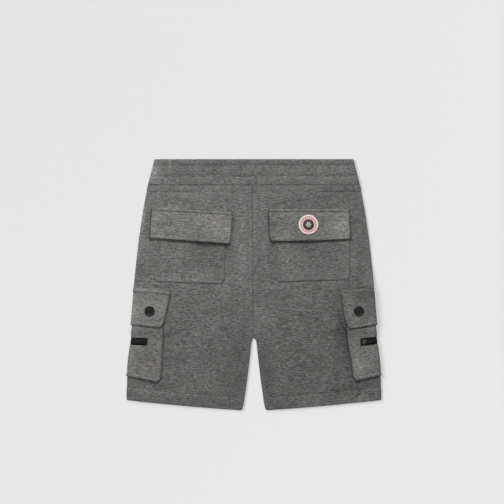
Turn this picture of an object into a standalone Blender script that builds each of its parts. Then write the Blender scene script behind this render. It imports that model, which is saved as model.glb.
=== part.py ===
"""Sweat shorts, laid flat with the back upwards.

Each piece that is cut and sewn is one object: four leg panels, a waistband in two halves, two back
pockets and two cargo pockets with their flaps, and the trims. The origin is under the middle of the
shorts, +X is the wearer's right, +Y points to the waist and +Z up. Sizes are in millimetres.
"""

from collections import namedtuple
from math import atan2, cos, pi, radians, sin

import bmesh
import bpy
import numpy as np
from mathutils import Matrix, Vector

MM = 0.001

# Walls of cloth and the air between them.
CLOTH = 1.6
BAG_CLOTH = 1.4
FLAP_CLOTH = 1.8
GUSSET_CLOTH = 1.0
BAND_CLOTH = 2.4
LAY = 0.4
GAP = 0.3

# The whole garment.
WAIST_Y = 187.4
BAND_SEAM_Y = 150.0
HEM_OUTER_Y = -172.6
HEM_INNER_Y = -187.4
HEM_BOW = 1.0
CROTCH_Y = -80.0
SEAM_TOP_X = -2.4
SEAM_CROTCH_X = -0.9

# Heights above the middle of the stack, from the panels outwards round the side fold.
PANEL_RISE = CLOTH + LAY / 2
BAG_RISE = BAG_CLOTH + GAP
FLAP_RISE = FLAP_CLOTH + GAP
GUSSET_RISE = GUSSET_CLOTH + GAP

# The window in each cargo pocket that its zip shows through, and the zip in it.
ZIP_END_X = 159.6
ZIP_CLOTH = 0.8
ZIP_DEPTH = 0.4

Side = namedtuple("Side", "y half_width")
SILHOUETTE = (
    Side(187.4, 149.7),
    Side(171.8, 153.6),
    Side(150.0, 159.0),
    Side(110.0, 167.0),
    Side(66.0, 173.4),
    Side(22.0, 178.3),
    Side(-11.0, 181.0),
    Side(-56.0, 184.7),
    Side(-67.0, 184.2),
    Side(-80.0, 184.8),
    Side(-112.0, 188.8),
    Side(-136.0, 190.9),
    Side(-143.0, 190.6),
    Side(-172.6, 191.2),
)

Leg = namedtuple("Leg", "y gap")
INNER_LEG = (
    Leg(CROTCH_Y, 0.15),
    Leg(-83.0, 2.9),
    Leg(-88.0, 3.9),
    Leg(-107.0, 5.8),
    Leg(-143.0, 10.0),
    Leg(-179.0, 15.2),
    Leg(-187.4, 17.4),
)

# How far the cargo pocket under a leg lifts it, and how far it pulls the side fold in.
Ease = namedtuple("Ease", "y bag_lift flap_lift bag_tuck flap_tuck")
EASES = (
    Ease(22.0, 0.0, 0.0, 0.0, 0.0),
    Ease(16.0, 0.14, 0.14, 0.0, 0.0),
    Ease(4.0, 0.86, 0.86, 0.0, 0.0),
    Ease(-2.0, 1.0, 1.0, 0.0, 0.0),
    Ease(-11.0, 1.0, 1.0, 1.0, 1.0),
    Ease(-56.0, 1.0, 1.0, 1.0, 1.0),
    Ease(-67.0, 1.0, 1.0, 1.0, 0.25),
    Ease(-70.0, 1.0, 0.82, 1.0, 0.0),
    Ease(-74.0, 1.0, 0.18, 1.0, 0.0),
    Ease(-77.0, 1.0, 0.0, 1.0, 0.0),
    Ease(-136.0, 1.0, 0.0, 1.0, 0.0),
    Ease(-143.0, 1.0, 0.0, 0.15, 0.0),
    Ease(-147.0, 1.0, 0.0, 0.0, 0.0),
    Ease(-152.0, 0.82, 0.0, 0.0, 0.0),
    Ease(-163.0, 0.18, 0.0, 0.0, 0.0),
    Ease(-168.0, 0.0, 0.0, 0.0, 0.0),
)
SLOPE_X = (98.0, 104.0, 118.0, 124.0)
SLOPE_SHARE = (0.0, 0.14, 0.86, 1.0)
PANEL_EXTRA_ROWS = (149.7, 110.0, 66.0, CROTCH_Y, -83.0, -88.0, -112.0)

# A flat piece on the back, a row at a time from its top edge down: where the row ends towards the
# side and towards the middle, and what the piece lies on there.
Row = namedtuple("Row", "side_x side_y inner_x inner_y lies_on")
ON_POCKET = BAG_CLOTH + GAP
BACK_POCKETS = {
    "left": (
        Row(149.0, 99.0, 41.8, 94.0, 0.0),
        Row(150.6, 22.0, 43.4, 22.0, 0.0),
        Row(150.8, 16.0, 43.7, 16.0, 0.0),
        Row(150.9, 12.6, 43.8, 8.6, 0.0),
        Row(146.6, 7.2, 48.4, 2.8, 0.0),
    ),
    "right": (
        Row(143.4, 98.0, 29.6, 97.0, 0.0),
        Row(144.0, 22.0, 32.6, 22.0, 0.0),
        Row(144.2, 16.0, 32.8, 16.0, 0.0),
        Row(144.2, 13.6, 33.0, 11.0, 0.0),
        Row(139.8, 8.6, 37.6, 5.6, 0.0),
    ),
}
BACK_FLAPS = {
    "left": (
        Row(151.7, 115.6, 33.6, 108.4, 0.0),
        Row(152.0, 110.5, 33.9, 104.0, 0.0),
        Row(152.4, 103.0, 34.4, 97.5, ON_POCKET),
        Row(154.5, 74.0, 37.0, 67.0, ON_POCKET),
        Row(152.4, 70.4, 40.0, 62.9, ON_POCKET),
    ),
    "right": (
        Row(142.1, 113.3, 21.6, 112.9, 0.0),
        Row(142.3, 108.0, 22.0, 107.6, 0.0),
        Row(142.6, 101.0, 22.4, 100.5, ON_POCKET),
        Row(144.3, 73.0, 23.0, 73.6, ON_POCKET),
        Row(142.2, 69.2, 27.0, 65.9, ON_POCKET),
    ),
}

# A piece that wraps the side fold, a row at a time: its edge on the back, where the row crosses the
# fold, and whether it stands on the piece under it there or lies on the leg.
Wrap = namedtuple("Wrap", "inner_x inner_y fold_y stands")
CARGO_BAGS = {
    "left": (
        Wrap(134.6, -15.5, -12.8, True),
        Wrap(135.8, -56.0, -56.0, True),
        Wrap(136.0, -67.0, -67.0, True),
        Wrap(136.0, -70.0, -70.0, True),
        Wrap(136.0, -74.0, -74.0, True),
        Wrap(136.0, -77.0, -77.0, True),
        Wrap(136.1, -81.6, -80.3, True),
        Wrap(136.5, -92.4, -89.5, True),
        Wrap(137.6, -112.0, -109.0, True),
        Wrap(139.0, -140.0, -132.4, True),
        Wrap(144.9, -145.7, -136.6, True),
    ),
    "right": (
        Wrap(134.6, -15.5, -12.8, True),
        Wrap(136.8, -56.0, -56.0, True),
        Wrap(137.7, -67.0, -67.0, True),
        Wrap(138.0, -70.0, -70.0, True),
        Wrap(138.2, -74.0, -74.0, True),
        Wrap(138.5, -77.0, -77.0, True),
        Wrap(139.2, -84.1, -79.1, True),
        Wrap(140.6, -94.3, -88.7, True),
        Wrap(145.6, -112.0, -108.0, True),
        Wrap(149.0, -137.0, -131.4, True),
        Wrap(154.0, -143.9, -135.8, True),
    ),
}
CARGO_FLAPS = {
    "left": (
        Wrap(125.4, -7.4, -3.5, False),
        Wrap(126.8, -14.0, -11.0, True),
        Wrap(129.2, -26.0, -24.0, True),
        Wrap(135.6, -57.4, -54.4, True),
        Wrap(140.9, -64.6, -60.8, True),
    ),
    "right": (
        Wrap(129.6, -7.0, -4.8, False),
        Wrap(130.3, -14.0, -11.8, True),
        Wrap(131.6, -26.0, -24.0, True),
        Wrap(136.9, -54.0, -53.4, True),
        Wrap(144.8, -66.4, -60.8, True),
    ),
}
ZIP_ROWS = slice(6, 8)
GUSSET_WIDTH = 9.0
GUSSET_SHOWS = {"left": 2.6, "right": 1.2}
GUSSET_TOP_ROW = 2
GUSSET_END_X = 173.6

# Trims.
SNAP_X = {"left": 155.9, "right": 156.6}
SNAP_Y = -39.4
SNAP_RADIUS = 7.5
SNAP_PROFILE = (
    (0.0, 1.5),
    (4.7, 1.4),
    (5.2, 1.2),
    (6.2, 1.9),
    (7.1, 1.5),
    (7.5, 0.8),
    (7.2, 0.0),
    (0.0, 0.0),
)
PATCH_CENTRE = (81.6, 89.8)
PATCH_RADIUS = 15.0
PATCH_THICKNESS = 1.4
SLIDER_X = 166.2
SLIDER_THICKNESS = 1.6
SLIDER_OUTLINE = ((-4.0, 2.8), (-3.2, 3.3), (1.0, 3.1), (4.0, 2.2))
ARCH_INNER = 1.3
ARCH_OUTER = 2.2
ARCH_HALF_WIDTH = 0.6
ARCH_FOOT = 0.5
PULL_THICKNESS = 1.0
PULL_EYE = (0.45, 2.65, 0.95)
PULL_OUTLINE = ((-0.5, 1.9), (3.4, 1.9), (5.2, 2.5), (12.4, 2.5))
PULL_TIP = 14.0

# The nested faces of the cargo pocket round the side fold: how far each stands out from the fold's
# centre, above it on the back, and below it on the front.
Radii = namedtuple("Radii", "out up down")
BAG_INNER = Radii(PANEL_RISE + GAP, PANEL_RISE + GAP + GUSSET_RISE, PANEL_RISE + GAP)
BAG_OUTER = Radii(*(radius + BAG_CLOTH for radius in BAG_INNER))
FLAP_INNER = Radii(*(radius + GAP for radius in BAG_OUTER))
FLAP_OUTER = Radii(*(radius + FLAP_CLOTH for radius in FLAP_INNER))

SIDES = {"left": -1.0, "right": 1.0}
BACK, FRONT = 1.0, -1.0
ARC_STEPS = 8
FOLD_ANGLES = [pi / 2 - step * pi / ARC_STEPS for step in range(ARC_STEPS + 1)]
FOLD_END_ANGLE = radians(12)
SEAM_ROUND = 0.5
LEG_ROUND = 1.35

Finish = namedtuple("Finish", "colour roughness metallic")
HEATHER = Finish((0.135, 0.132, 0.128), 0.95, 0.0)
POCKET_HEATHER = Finish((0.165, 0.162, 0.156), 0.95, 0.0)
ZIP_TAPE = Finish((0.016, 0.015, 0.014), 0.6, 0.0)
BLACK_METAL = Finish((0.03, 0.028, 0.027), 0.35, 0.8)
PATCH_TWILL = Finish((0.62, 0.5, 0.49), 0.85, 0.0)


def clear_scene():
    """Removes every object that the file opened with."""
    for obj in list(bpy.data.objects):
        bpy.data.objects.remove(obj)


def collection(name, shown=True):
    """A new collection in the scene, hidden where it only holds helpers."""
    made = bpy.data.collections.new(name)
    bpy.context.scene.collection.children.link(made)
    made.hide_render = not shown
    return made


def dress(obj, finish):
    """Gives the object a material of its own."""
    material = bpy.data.materials.new(obj.name)
    material.use_nodes = True
    shader = material.node_tree.nodes["Principled BSDF"]
    shader.inputs["Base Color"].default_value = (*finish.colour, 1.0)
    shader.inputs["Roughness"].default_value = finish.roughness
    shader.inputs["Metallic"].default_value = finish.metallic
    material.diffuse_color = (*finish.colour, 1.0)
    obj.data.materials.clear()
    obj.data.materials.append(material)


def new_object(name, shape, into, finish=None):
    """An object that holds the bmesh or mesh data given."""
    if isinstance(shape, bmesh.types.BMesh):
        data = bpy.data.meshes.new(name)
        shape.to_mesh(data)
        shape.free()
    else:
        data = shape
    obj = bpy.data.objects.new(name, data)
    into.objects.link(obj)
    if finish:
        dress(obj, finish)
    return obj


def column(table, key, field):
    """One named column of a table, in the order that interpolation wants."""
    rows = sorted(table, key=lambda row: getattr(row, key))
    return [getattr(row, key) for row in rows], [getattr(row, field) for row in rows]


def read(table, key, field, at):
    """A named column read at any place along the table's key column."""
    return np.interp(at, *column(table, key, field))


def lift(x, y):
    """How far the pieces under the legs raise them at a point."""
    share = np.interp(np.abs(x), SLOPE_X, SLOPE_SHARE)
    bag = BAG_RISE * read(EASES, "y", "bag_lift", y)
    flap = FLAP_RISE * read(EASES, "y", "flap_lift", y)
    return share * (bag + flap)


def middle(x, y):
    """The height midway between the back and the front of a leg."""
    return PANEL_RISE + lift(x, y)


def panel_width(y):
    """How far from the middle a leg's own side fold runs."""
    tuck = BAG_RISE * read(EASES, "y", "bag_tuck", y) + FLAP_RISE * read(EASES, "y", "flap_tuck", y)
    return read(SILHOUETTE, "y", "half_width", y) - tuck


def fold_centre(y):
    """The distance from the middle at which a leg starts to turn round its side fold."""
    return float(panel_width(y)) - PANEL_RISE


def row_y(row, x):
    """Where a slanted row of a wrapped piece runs, between its back edge and the fold."""
    share = (x - row.inner_x) / (fold_centre(row.fold_y) - row.inner_x)
    return row.inner_y + (row.fold_y - row.inner_y) * share


def wall(outer, inner, kept=None):
    """A closed wall between two grids of points, over the cells that are kept."""
    rows, columns = len(outer) - 1, len(outer[0]) - 1
    if kept is None:
        kept = {(row, place) for row in range(rows) for place in range(columns)}
    shape = bmesh.new()
    layers = []
    for grid in (outer, inner):
        layers.append([[shape.verts.new(Vector(point) * MM) for point in row] for row in grid])
    for row, place in sorted(kept):
        corners = [(row, place), (row + 1, place), (row + 1, place + 1), (row, place + 1)]
        for layer in layers:
            shape.faces.new([layer[i][j] for i, j in corners])
        beside = [(row, place - 1), (row + 1, place), (row, place + 1), (row - 1, place)]
        for side, neighbour in enumerate(beside):
            if neighbour in kept:
                continue
            ends = (corners[side], corners[(side + 1) % 4])
            near = [layers[0][i][j] for i, j in ends]
            far = [layers[1][i][j] for i, j in reversed(ends)]
            shape.faces.new(near + far)
    loose = [vert for vert in shape.verts if not vert.link_faces]
    bmesh.ops.delete(shape, geom=loose, context="VERTS")
    bmesh.ops.recalc_face_normals(shape, faces=shape.faces)
    return shape


def edge_round(places, radius):
    """Pairs of distance from an edge and drop there, for a quarter round."""
    angles = [pi / 2 * place for place in places]
    return [(radius * (1 - cos(angle)), radius * (1 - sin(angle))) for angle in angles]


def leg_panel(side, face):
    """The two grids of one leg panel, from the side fold to the middle, waist to hem."""
    rows = sorted({*PANEL_EXTRA_ROWS, *(ease.y for ease in EASES)}, reverse=True)
    outer, inner = [], []
    for y in [*rows, HEM_OUTER_Y]:
        at_hem = y == HEM_OUTER_Y
        seam = np.interp(y, (CROTCH_Y, WAIST_Y), (SEAM_CROTCH_X, SEAM_TOP_X)) * side
        gap = float(read(INNER_LEG, "y", "gap", HEM_INNER_Y if at_hem else y))
        inner_x = seam + GAP / 2 if y >= CROTCH_Y else gap
        radius = SEAM_ROUND if y >= CROTCH_Y else LEG_ROUND
        width = float(panel_width(y))
        points = []
        for angle in (FOLD_END_ANGLE, *FOLD_ANGLES[3::-1]):
            points.append((fold_centre(y) + PANEL_RISE * cos(angle), PANEL_RISE * (1 - sin(angle))))
        points += [(x, 0.0) for x in (152.0, *reversed(SLOPE_X), 52.0)]
        points += [(inner_x + d, drop) for d, drop in edge_round((1, 0.5, 0), radius)]
        top, bottom = [], []
        for x, drop in points:
            share = (width - x) / (width - inner_x)
            bow = HEM_BOW * 4 * share * (1 - share)
            y_here = y + (HEM_INNER_Y - HEM_OUTER_Y) * share - bow if at_hem else y
            centre = float(middle(x, y_here))
            top.append((side * x, y_here, centre + face * (PANEL_RISE - drop)))
            bottom.append((side * x, y_here, centre + face * LAY / 2))
        outer.append(top)
        inner.append(bottom)
    return outer, inner


def band(face):
    """The two grids of one half of the waistband, from side to side, waist edge to seam."""
    thickness = BAND_CLOTH + LAY / 2
    outer, inner = [], []
    waist = [(WAIST_Y - d, drop) for d, drop in edge_round((0, 0.5, 1), LEG_ROUND)]
    for y, row_drop in [*waist, (171.8, 0.0), (BAND_SEAM_Y, 0.0)]:
        width = float(read(SILHOUETTE, "y", "half_width", y))
        ends = [(width - d, drop) for d, drop in edge_round((0, 0.4, 1), LEG_ROUND)]
        points = ends + [(100.0, 0.0), (50.0, 0.0)]
        points += [(0.0, 0.0)] + [(-x, drop) for x, drop in reversed(points)]
        top, bottom = [], []
        for x, drop in points:
            raised = thickness - max(drop, row_drop)
            top.append((x, y, thickness + face * raised))
            bottom.append((x, y, thickness + face * LAY / 2))
        outer.append(top)
        inner.append(bottom)
    return outer, inner


def flat_piece(rows, side, thickness):
    """The two grids of a piece that lies on the back of a leg."""
    outer, inner = [], []
    for row in rows:
        between = [x for x in reversed(SLOPE_X) if row.inner_x < x < row.side_x]
        middle_x = (SLOPE_X[0] + row.inner_x) / 2
        places = [row.side_x, *between, middle_x, row.inner_x]
        top, bottom = [], []
        for x in places:
            share = (x - row.side_x) / (row.inner_x - row.side_x)
            y = row.side_y + (row.inner_y - row.side_y) * share
            under = float(middle(x, y)) + PANEL_RISE + row.lies_on + GAP
            bottom.append((side * x, y, under))
            top.append((side * x, y, under + thickness))
        outer.append(top)
        inner.append(bottom)
    return outer, inner


def wrap_point(side, x, y, angle, radii):
    """A point at a height and an angle on one face of a piece that wraps the side fold."""
    reach = radii.up if angle >= 0 else radii.down
    return (side * x, y, float(middle(SLOPE_X[-1], y)) + reach * sin(angle))


def wrapped(rows, side, faces, stops=()):
    """One grid of a wrapped piece, from its back edge round the fold to its front edge.

    faces gives the radii of this face at each row, and stops any columns wanted on the flat.
    """
    grid = []
    for row, radii in zip(rows, faces):
        places = [(x, row_y(row, x)) for x in (row.inner_x, *stops)]
        on_back = [wrap_point(side, x, y, pi / 2, radii) for x, y in places]
        on_front = [wrap_point(side, x, y, -pi / 2, radii) for x, y in reversed(places)]
        round_fold = []
        for angle in FOLD_ANGLES:
            x = fold_centre(row.fold_y) + radii.out * cos(angle)
            round_fold.append(wrap_point(side, x, row.fold_y, angle, radii))
        grid.append(on_back + round_fold + on_front)
    return grid


def cargo_bag(name):
    """The pocket bag, with the window for its zip."""
    rows, side = CARGO_BAGS[name], SIDES[name]
    outer = wrapped(rows, side, [BAG_OUTER] * len(rows), (ZIP_END_X,))
    inner = wrapped(rows, side, [BAG_INNER] * len(rows), (ZIP_END_X,))
    last = len(outer[0]) - 2
    kept = {(row, place) for row in range(len(rows) - 1) for place in range(last + 1)}
    kept -= {(ZIP_ROWS.start, place) for place in range(1, last)}
    return wall(outer, inner, kept)


def zip_tape(name):
    """The closed zip, a hair smaller than its window and a little below the bag's face."""
    rows = []
    start_x = ZIP_END_X + GAP
    for row, inset in zip(CARGO_BAGS[name][ZIP_ROWS], (-GAP, GAP)):
        rows.append(Wrap(start_x, row_y(row, start_x) + inset, row.fold_y + inset, 1.0))
    outer, inner = (
        wrapped(rows, SIDES[name], [Radii(*(radius - depth for radius in BAG_OUTER))] * 2)
        for depth in (ZIP_DEPTH, ZIP_DEPTH + ZIP_CLOTH)
    )
    return wall(outer, inner)


def cargo_flap(name):
    """The flap, sewn to the leg along its top edge and standing on the bag below it."""
    rows, side = CARGO_FLAPS[name], SIDES[name]
    sewn = {
        FLAP_OUTER: Radii(*(BAG_INNER.down + FLAP_CLOTH for _ in Radii._fields)),
        FLAP_INNER: Radii(*(BAG_INNER.down for _ in Radii._fields)),
    }
    grids = []
    for raised, lying in sewn.items():
        faces = [raised if row.stands else lying for row in rows]
        grids.append(wrapped(rows, side, faces, (ZIP_END_X,)))
    return wall(*grids)


def gusset(name):
    """The strip that joins the bag to the leg, along its back edge and its bottom."""
    side, shows = SIDES[name], GUSSET_SHOWS[name]
    rows = CARGO_BAGS[name][GUSSET_TOP_ROW:]
    lines = [(row, 0.0) for row in rows[:-1]]
    lines += [(rows[-1], GUSSET_WIDTH / 2), (rows[-1], -shows)]
    outer, inner = [], []
    for row, above in lines:
        start_x = row.inner_x - shows
        top, bottom = [], []
        for x in (start_x, start_x + GUSSET_WIDTH, GUSSET_END_X):
            y = row_y(row, x) + above
            under = float(middle(x, y)) + PANEL_RISE + GAP
            bottom.append((side * x, y, under))
            top.append((side * x, y, under + GUSSET_CLOTH))
        outer.append(top)
        inner.append(bottom)
    last = len(lines) - 2
    kept = {(place, 0) for place in range(last + 1)} | {(last, 1)}
    return wall(outer, inner, kept)


def plate(name, outlines, thickness, into):
    """A flat piece cut to its outlines, as a mesh object at the origin."""
    curve = bpy.data.curves.new(name, "CURVE")
    curve.dimensions = "2D"
    curve.fill_mode = "BOTH"
    curve.extrude = thickness / 2 * MM
    for outline in outlines:
        spline = curve.splines.new("POLY")
        spline.points.add(len(outline) - 1)
        for point, (x, y) in zip(spline.points, outline):
            point.co = (x * MM, y * MM, 0.0, 1.0)
        spline.use_cyclic_u = True
    drawn = bpy.data.objects.new(name + "_outline", curve)
    into.objects.link(drawn)
    bpy.context.view_layer.update()
    graph = bpy.context.evaluated_depsgraph_get()
    data = bpy.data.meshes.new_from_object(drawn.evaluated_get(graph))
    bpy.data.objects.remove(drawn)
    shape = bmesh.new()
    shape.from_mesh(data)
    bmesh.ops.remove_doubles(shape, verts=shape.verts, dist=1e-6)
    bmesh.ops.recalc_face_normals(shape, faces=shape.faces)
    return new_object(name, shape, into)


def mirrored_outline(half):
    """A closed outline from the points along its upper half."""
    return [*half, *[(x, -y) for x, y in reversed(half)]]


def soften(obj, width):
    """Rounds the object's corners."""
    bevel = obj.modifiers.new("Rounded corners", "BEVEL")
    bevel.width = width * MM
    bevel.segments = 1
    bevel.limit_method = "ANGLE"
    bevel.angle_limit = radians(50)


def zip_frame(name):
    """Where the pull turns on its slider, and the heading along the zip towards the side."""
    upper, lower = CARGO_BAGS[name][ZIP_ROWS]

    def centre_line(x):
        return (row_y(upper, x) + row_y(lower, x)) / 2

    y = centre_line(SLIDER_X)
    run = PULL_TIP
    heading = atan2(centre_line(SLIDER_X + run) - y, SIDES[name] * run)
    zip_top = float(middle(SLIDER_X, y)) + BAG_OUTER.up - ZIP_DEPTH
    height = zip_top + GAP + SLIDER_THICKNESS + GAP + PULL_THICKNESS / 2
    return Vector((SIDES[name] * SLIDER_X, y, height)), heading


def slider_and_pull(name, parts, cutters):
    """The zip's slider and, hinged on the arch that stands on it, its pull."""
    place, heading = zip_frame(name)
    hinge = bpy.data.objects.new(name + "_pull_hinge", None)
    parts.objects.link(hinge)
    hinge.location = place * MM
    hinge.rotation_euler.z = heading

    under = -(PULL_THICKNESS / 2 + GAP + SLIDER_THICKNESS / 2)
    body = plate(name + "_zip_slider", [mirrored_outline(SLIDER_OUTLINE)], SLIDER_THICKNESS, parts)
    body.parent = hinge
    body.location.z = under * MM
    soften(body, 0.3)

    foot = -(PULL_THICKNESS / 2 + GAP + ARCH_FOOT)
    angles = [pi * step / ARC_STEPS for step in range(ARC_STEPS + 1)]
    grids = []
    for radius in (ARCH_OUTER, ARCH_INNER):
        profile = [(radius, foot), *[(radius * cos(a), radius * sin(a)) for a in angles]]
        profile.append((-radius, foot))
        widths = (-ARCH_HALF_WIDTH, ARCH_HALF_WIDTH)
        grids.append([[(x, width, z) for x, z in profile] for width in widths])
    arch = new_object(name + "_slider_arch", wall(*grids), cutters)
    arch.parent = hinge
    arch.display_type = "WIRE"
    arch.hide_render = True
    join = body.modifiers.new("Arch", "BOOLEAN")
    join.operation = "UNION"
    join.object = arch
    dress(body, BLACK_METAL)

    near, far, half = PULL_EYE
    eye = [(near, -half), (far, -half), (far, half), (near, half)]
    tip = [(PULL_TIP - 0.5, 2.0), (PULL_TIP, 1.2)]
    outline = mirrored_outline([*PULL_OUTLINE, *tip])
    pull = plate(name + "_zip_pull", [outline, eye], PULL_THICKNESS, parts)
    pull.parent = hinge
    dress(pull, BLACK_METAL)


def snap_cap(name, parts):
    """The cap of the press stud, a dished disc inside a raised rim."""
    shape = bmesh.new()
    points = [shape.verts.new((x * MM, 0.0, z * MM)) for x, z in SNAP_PROFILE]
    for start, end in zip(points, points[1:]):
        shape.edges.new((start, end))
    cap = new_object(name + "_snap_cap", shape, parts)
    turn = cap.modifiers.new("Turned", "SCREW")
    turn.axis = "Z"
    turn.angle = 2 * pi
    turn.steps = 28
    turn.render_steps = 28
    turn.use_merge_vertices = True
    turn.merge_threshold = 0.00001
    x = SNAP_X[name]
    top = float(middle(x, SNAP_Y)) + FLAP_OUTER.up
    cap.location = Vector((SIDES[name] * x, SNAP_Y, top + GAP)) * MM
    dress(cap, BLACK_METAL)


def round_patch(parts):
    """The round patch on the right back flap."""
    shape = bmesh.new()
    bmesh.ops.create_cone(
        shape,
        cap_ends=True,
        segments=40,
        radius1=PATCH_RADIUS * MM,
        radius2=PATCH_RADIUS * MM,
        depth=PATCH_THICKNESS * MM,
    )
    patch = new_object("round_patch", shape, parts)
    x, y = PATCH_CENTRE
    flap_top = float(middle(x, y)) + PANEL_RISE + ON_POCKET + GAP + FLAP_CLOTH
    patch.location = Vector((x, y, flap_top + GAP + PATCH_THICKNESS / 2)) * MM
    soften(patch, 0.35)
    dress(patch, PATCH_TWILL)


def build():
    """Builds every piece."""
    clear_scene()
    parts = collection("sweat_shorts")
    cutters = collection("helpers", shown=False)
    new_object("waistband_back", wall(*band(BACK)), parts, HEATHER)
    new_object("waistband_front", wall(*band(FRONT)), parts, HEATHER)
    for name, side in SIDES.items():
        new_object(name + "_back_panel", wall(*leg_panel(side, BACK)), parts, HEATHER)
        new_object(name + "_front_panel", wall(*leg_panel(side, FRONT)), parts, HEATHER)
        pocket = flat_piece(BACK_POCKETS[name], side, BAG_CLOTH)
        new_object(name + "_back_pocket", wall(*pocket), parts, HEATHER)
        flap = flat_piece(BACK_FLAPS[name], side, FLAP_CLOTH)
        new_object(name + "_back_flap", wall(*flap), parts, POCKET_HEATHER)
        new_object(name + "_cargo_gusset", gusset(name), parts, HEATHER)
        new_object(name + "_cargo_bag", cargo_bag(name), parts, POCKET_HEATHER)
        new_object(name + "_cargo_flap", cargo_flap(name), parts, POCKET_HEATHER)
        new_object(name + "_zip", zip_tape(name), parts, ZIP_TAPE)
        slider_and_pull(name, parts, cutters)
        snap_cap(name, parts)
    round_patch(parts)


build()
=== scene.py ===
"""Sweat shorts in heather grey fleece, laid flat on a pale table with the back upwards.

The frame's solids give every piece its place; this script gives each one its cloth, stitches and metal.
Sizes are in millimetres until a mesh is made, +X is the wearer's right, +Y the waist and +Z up.
"""

import logging
import math
from dataclasses import dataclass, field
from enum import Enum
from typing import Callable, Optional, Sequence, Union

import bpy
import numpy as np
from bpy.types import Material, NodeSocket, Object, World
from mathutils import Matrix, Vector

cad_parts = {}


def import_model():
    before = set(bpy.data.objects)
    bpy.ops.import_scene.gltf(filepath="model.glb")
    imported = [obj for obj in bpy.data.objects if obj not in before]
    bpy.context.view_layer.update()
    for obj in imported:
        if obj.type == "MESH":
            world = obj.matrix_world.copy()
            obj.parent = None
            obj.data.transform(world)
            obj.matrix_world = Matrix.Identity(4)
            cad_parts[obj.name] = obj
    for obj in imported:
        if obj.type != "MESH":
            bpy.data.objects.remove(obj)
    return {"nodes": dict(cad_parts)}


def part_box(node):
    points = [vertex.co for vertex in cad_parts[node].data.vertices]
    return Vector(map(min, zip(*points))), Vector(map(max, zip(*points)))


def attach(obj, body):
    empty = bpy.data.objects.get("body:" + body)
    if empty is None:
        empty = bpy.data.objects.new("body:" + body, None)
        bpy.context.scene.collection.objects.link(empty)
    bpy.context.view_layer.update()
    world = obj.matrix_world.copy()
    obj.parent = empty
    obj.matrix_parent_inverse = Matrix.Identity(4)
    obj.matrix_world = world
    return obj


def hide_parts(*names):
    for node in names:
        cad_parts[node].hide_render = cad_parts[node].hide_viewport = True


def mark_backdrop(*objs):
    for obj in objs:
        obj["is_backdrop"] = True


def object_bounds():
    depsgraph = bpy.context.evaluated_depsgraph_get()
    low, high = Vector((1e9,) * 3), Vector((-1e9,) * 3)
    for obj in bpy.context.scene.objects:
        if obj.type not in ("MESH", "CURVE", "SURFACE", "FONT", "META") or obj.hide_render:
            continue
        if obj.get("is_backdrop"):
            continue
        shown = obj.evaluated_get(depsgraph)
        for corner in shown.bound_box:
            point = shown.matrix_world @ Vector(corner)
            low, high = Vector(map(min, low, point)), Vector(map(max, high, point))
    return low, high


LOG = logging.getLogger("sweat_shorts")
MM = 0.001
BODY = "shorts"
Array = np.ndarray
Colour = tuple[float, float, float]
Faces = list[Sequence[int]]
Size = Union[float, Array]


# ---- Named options ----


class Place(Enum):
    """A part of the garment that pieces are named for."""

    @property
    def word(self) -> str:
        """What it is called in the names of the frame's nodes."""
        return self.name.lower()


class Face(Place):
    """The side of the garment that a piece is on; the value points out of it."""

    BACK = 1.0
    FRONT = -1.0


class Side(Place):
    """The wearer's left or right leg; the value is its direction along X."""

    LEFT = -1.0
    RIGHT = 1.0


class Slot(Enum):
    """The material slots that the pieces are in."""

    SWEAT = "sweat_heather"
    POCKET = "pocket_heather"
    TAPE = "zip_tape"
    METAL = "black_metal"
    PATCH = "patch_twill"


class Seed(Enum):
    """The random draws, one for each kind of uneven ripple."""

    CREASES = 3
    FINE_CREASES = 8
    GATHERS = 21
    WIDE_GATHERS = 22
    RIBS = 23
    ROWS = 24
    EDGES = 31
    LONG_EDGES = 32


# ---- Shaders ----


def operator(name: str, swapped: bool = False) -> Callable[["Socket", "Operand"], "Socket"]:
    """Python's operator for a node's operation, or the one for a socket that stands on its right."""
    return lambda here, other: here.join(name, *((other, here) if swapped else (here, other)))


class Socket:
    """A node's output that can be used in ordinary Python arithmetic."""

    def __init__(self, graph: "Graph", output: Optional[NodeSocket]) -> None:
        """Wraps one output of a node in the graph."""
        self.graph = graph
        self.output = output

    def join(self, operation: str, first: "Operand", second: "Operand") -> "Socket":
        """Works on two operands with a Math node, or with a Vector Math node where one is a vector.

        Args:
            operation: The operation's name.
            first, second: The operands.

        Returns:
            The result.
        """
        flat = all(not isinstance(x, Socket) or x.output.type == "VALUE" for x in (first, second))
        kind = "ShaderNodeMath" if flat else "ShaderNodeVectorMath"
        return self.graph.node(kind, {"operation": operation}, {0: first, 1: second})

    __add__, __radd__ = operator("ADD"), operator("ADD", swapped=True)
    __sub__, __rsub__ = operator("SUBTRACT"), operator("SUBTRACT", swapped=True)
    __mul__, __rmul__ = operator("MULTIPLY"), operator("MULTIPLY", swapped=True)
    __truediv__, __rtruediv__ = operator("DIVIDE"), operator("DIVIDE", swapped=True)
    __pow__ = operator("POWER")

    def apply(self, operation: str, *others: "Operand") -> "Socket":
        """The named Math operation on self and any further operands."""
        inputs = dict(enumerate((self, *others)))
        return self.graph.node("ShaderNodeMath", {"operation": operation}, inputs)

    def wave(self, period: float) -> "Socket":
        """A sine of self, from 0 to 1, that repeats every period."""
        return (self * (2 * math.pi / period)).apply("SINE") * 0.5 + 0.5

    def between(self, low: float, high: float) -> "Socket":
        """A soft step from 0 at low to 1 at high."""
        settings = {"interpolation_type": "SMOOTHSTEP"}
        return self.graph.node("ShaderNodeMapRange", settings, {0: self, 1: low, 2: high})


Operand = Union[float, tuple[float, float, float], Socket]


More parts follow.
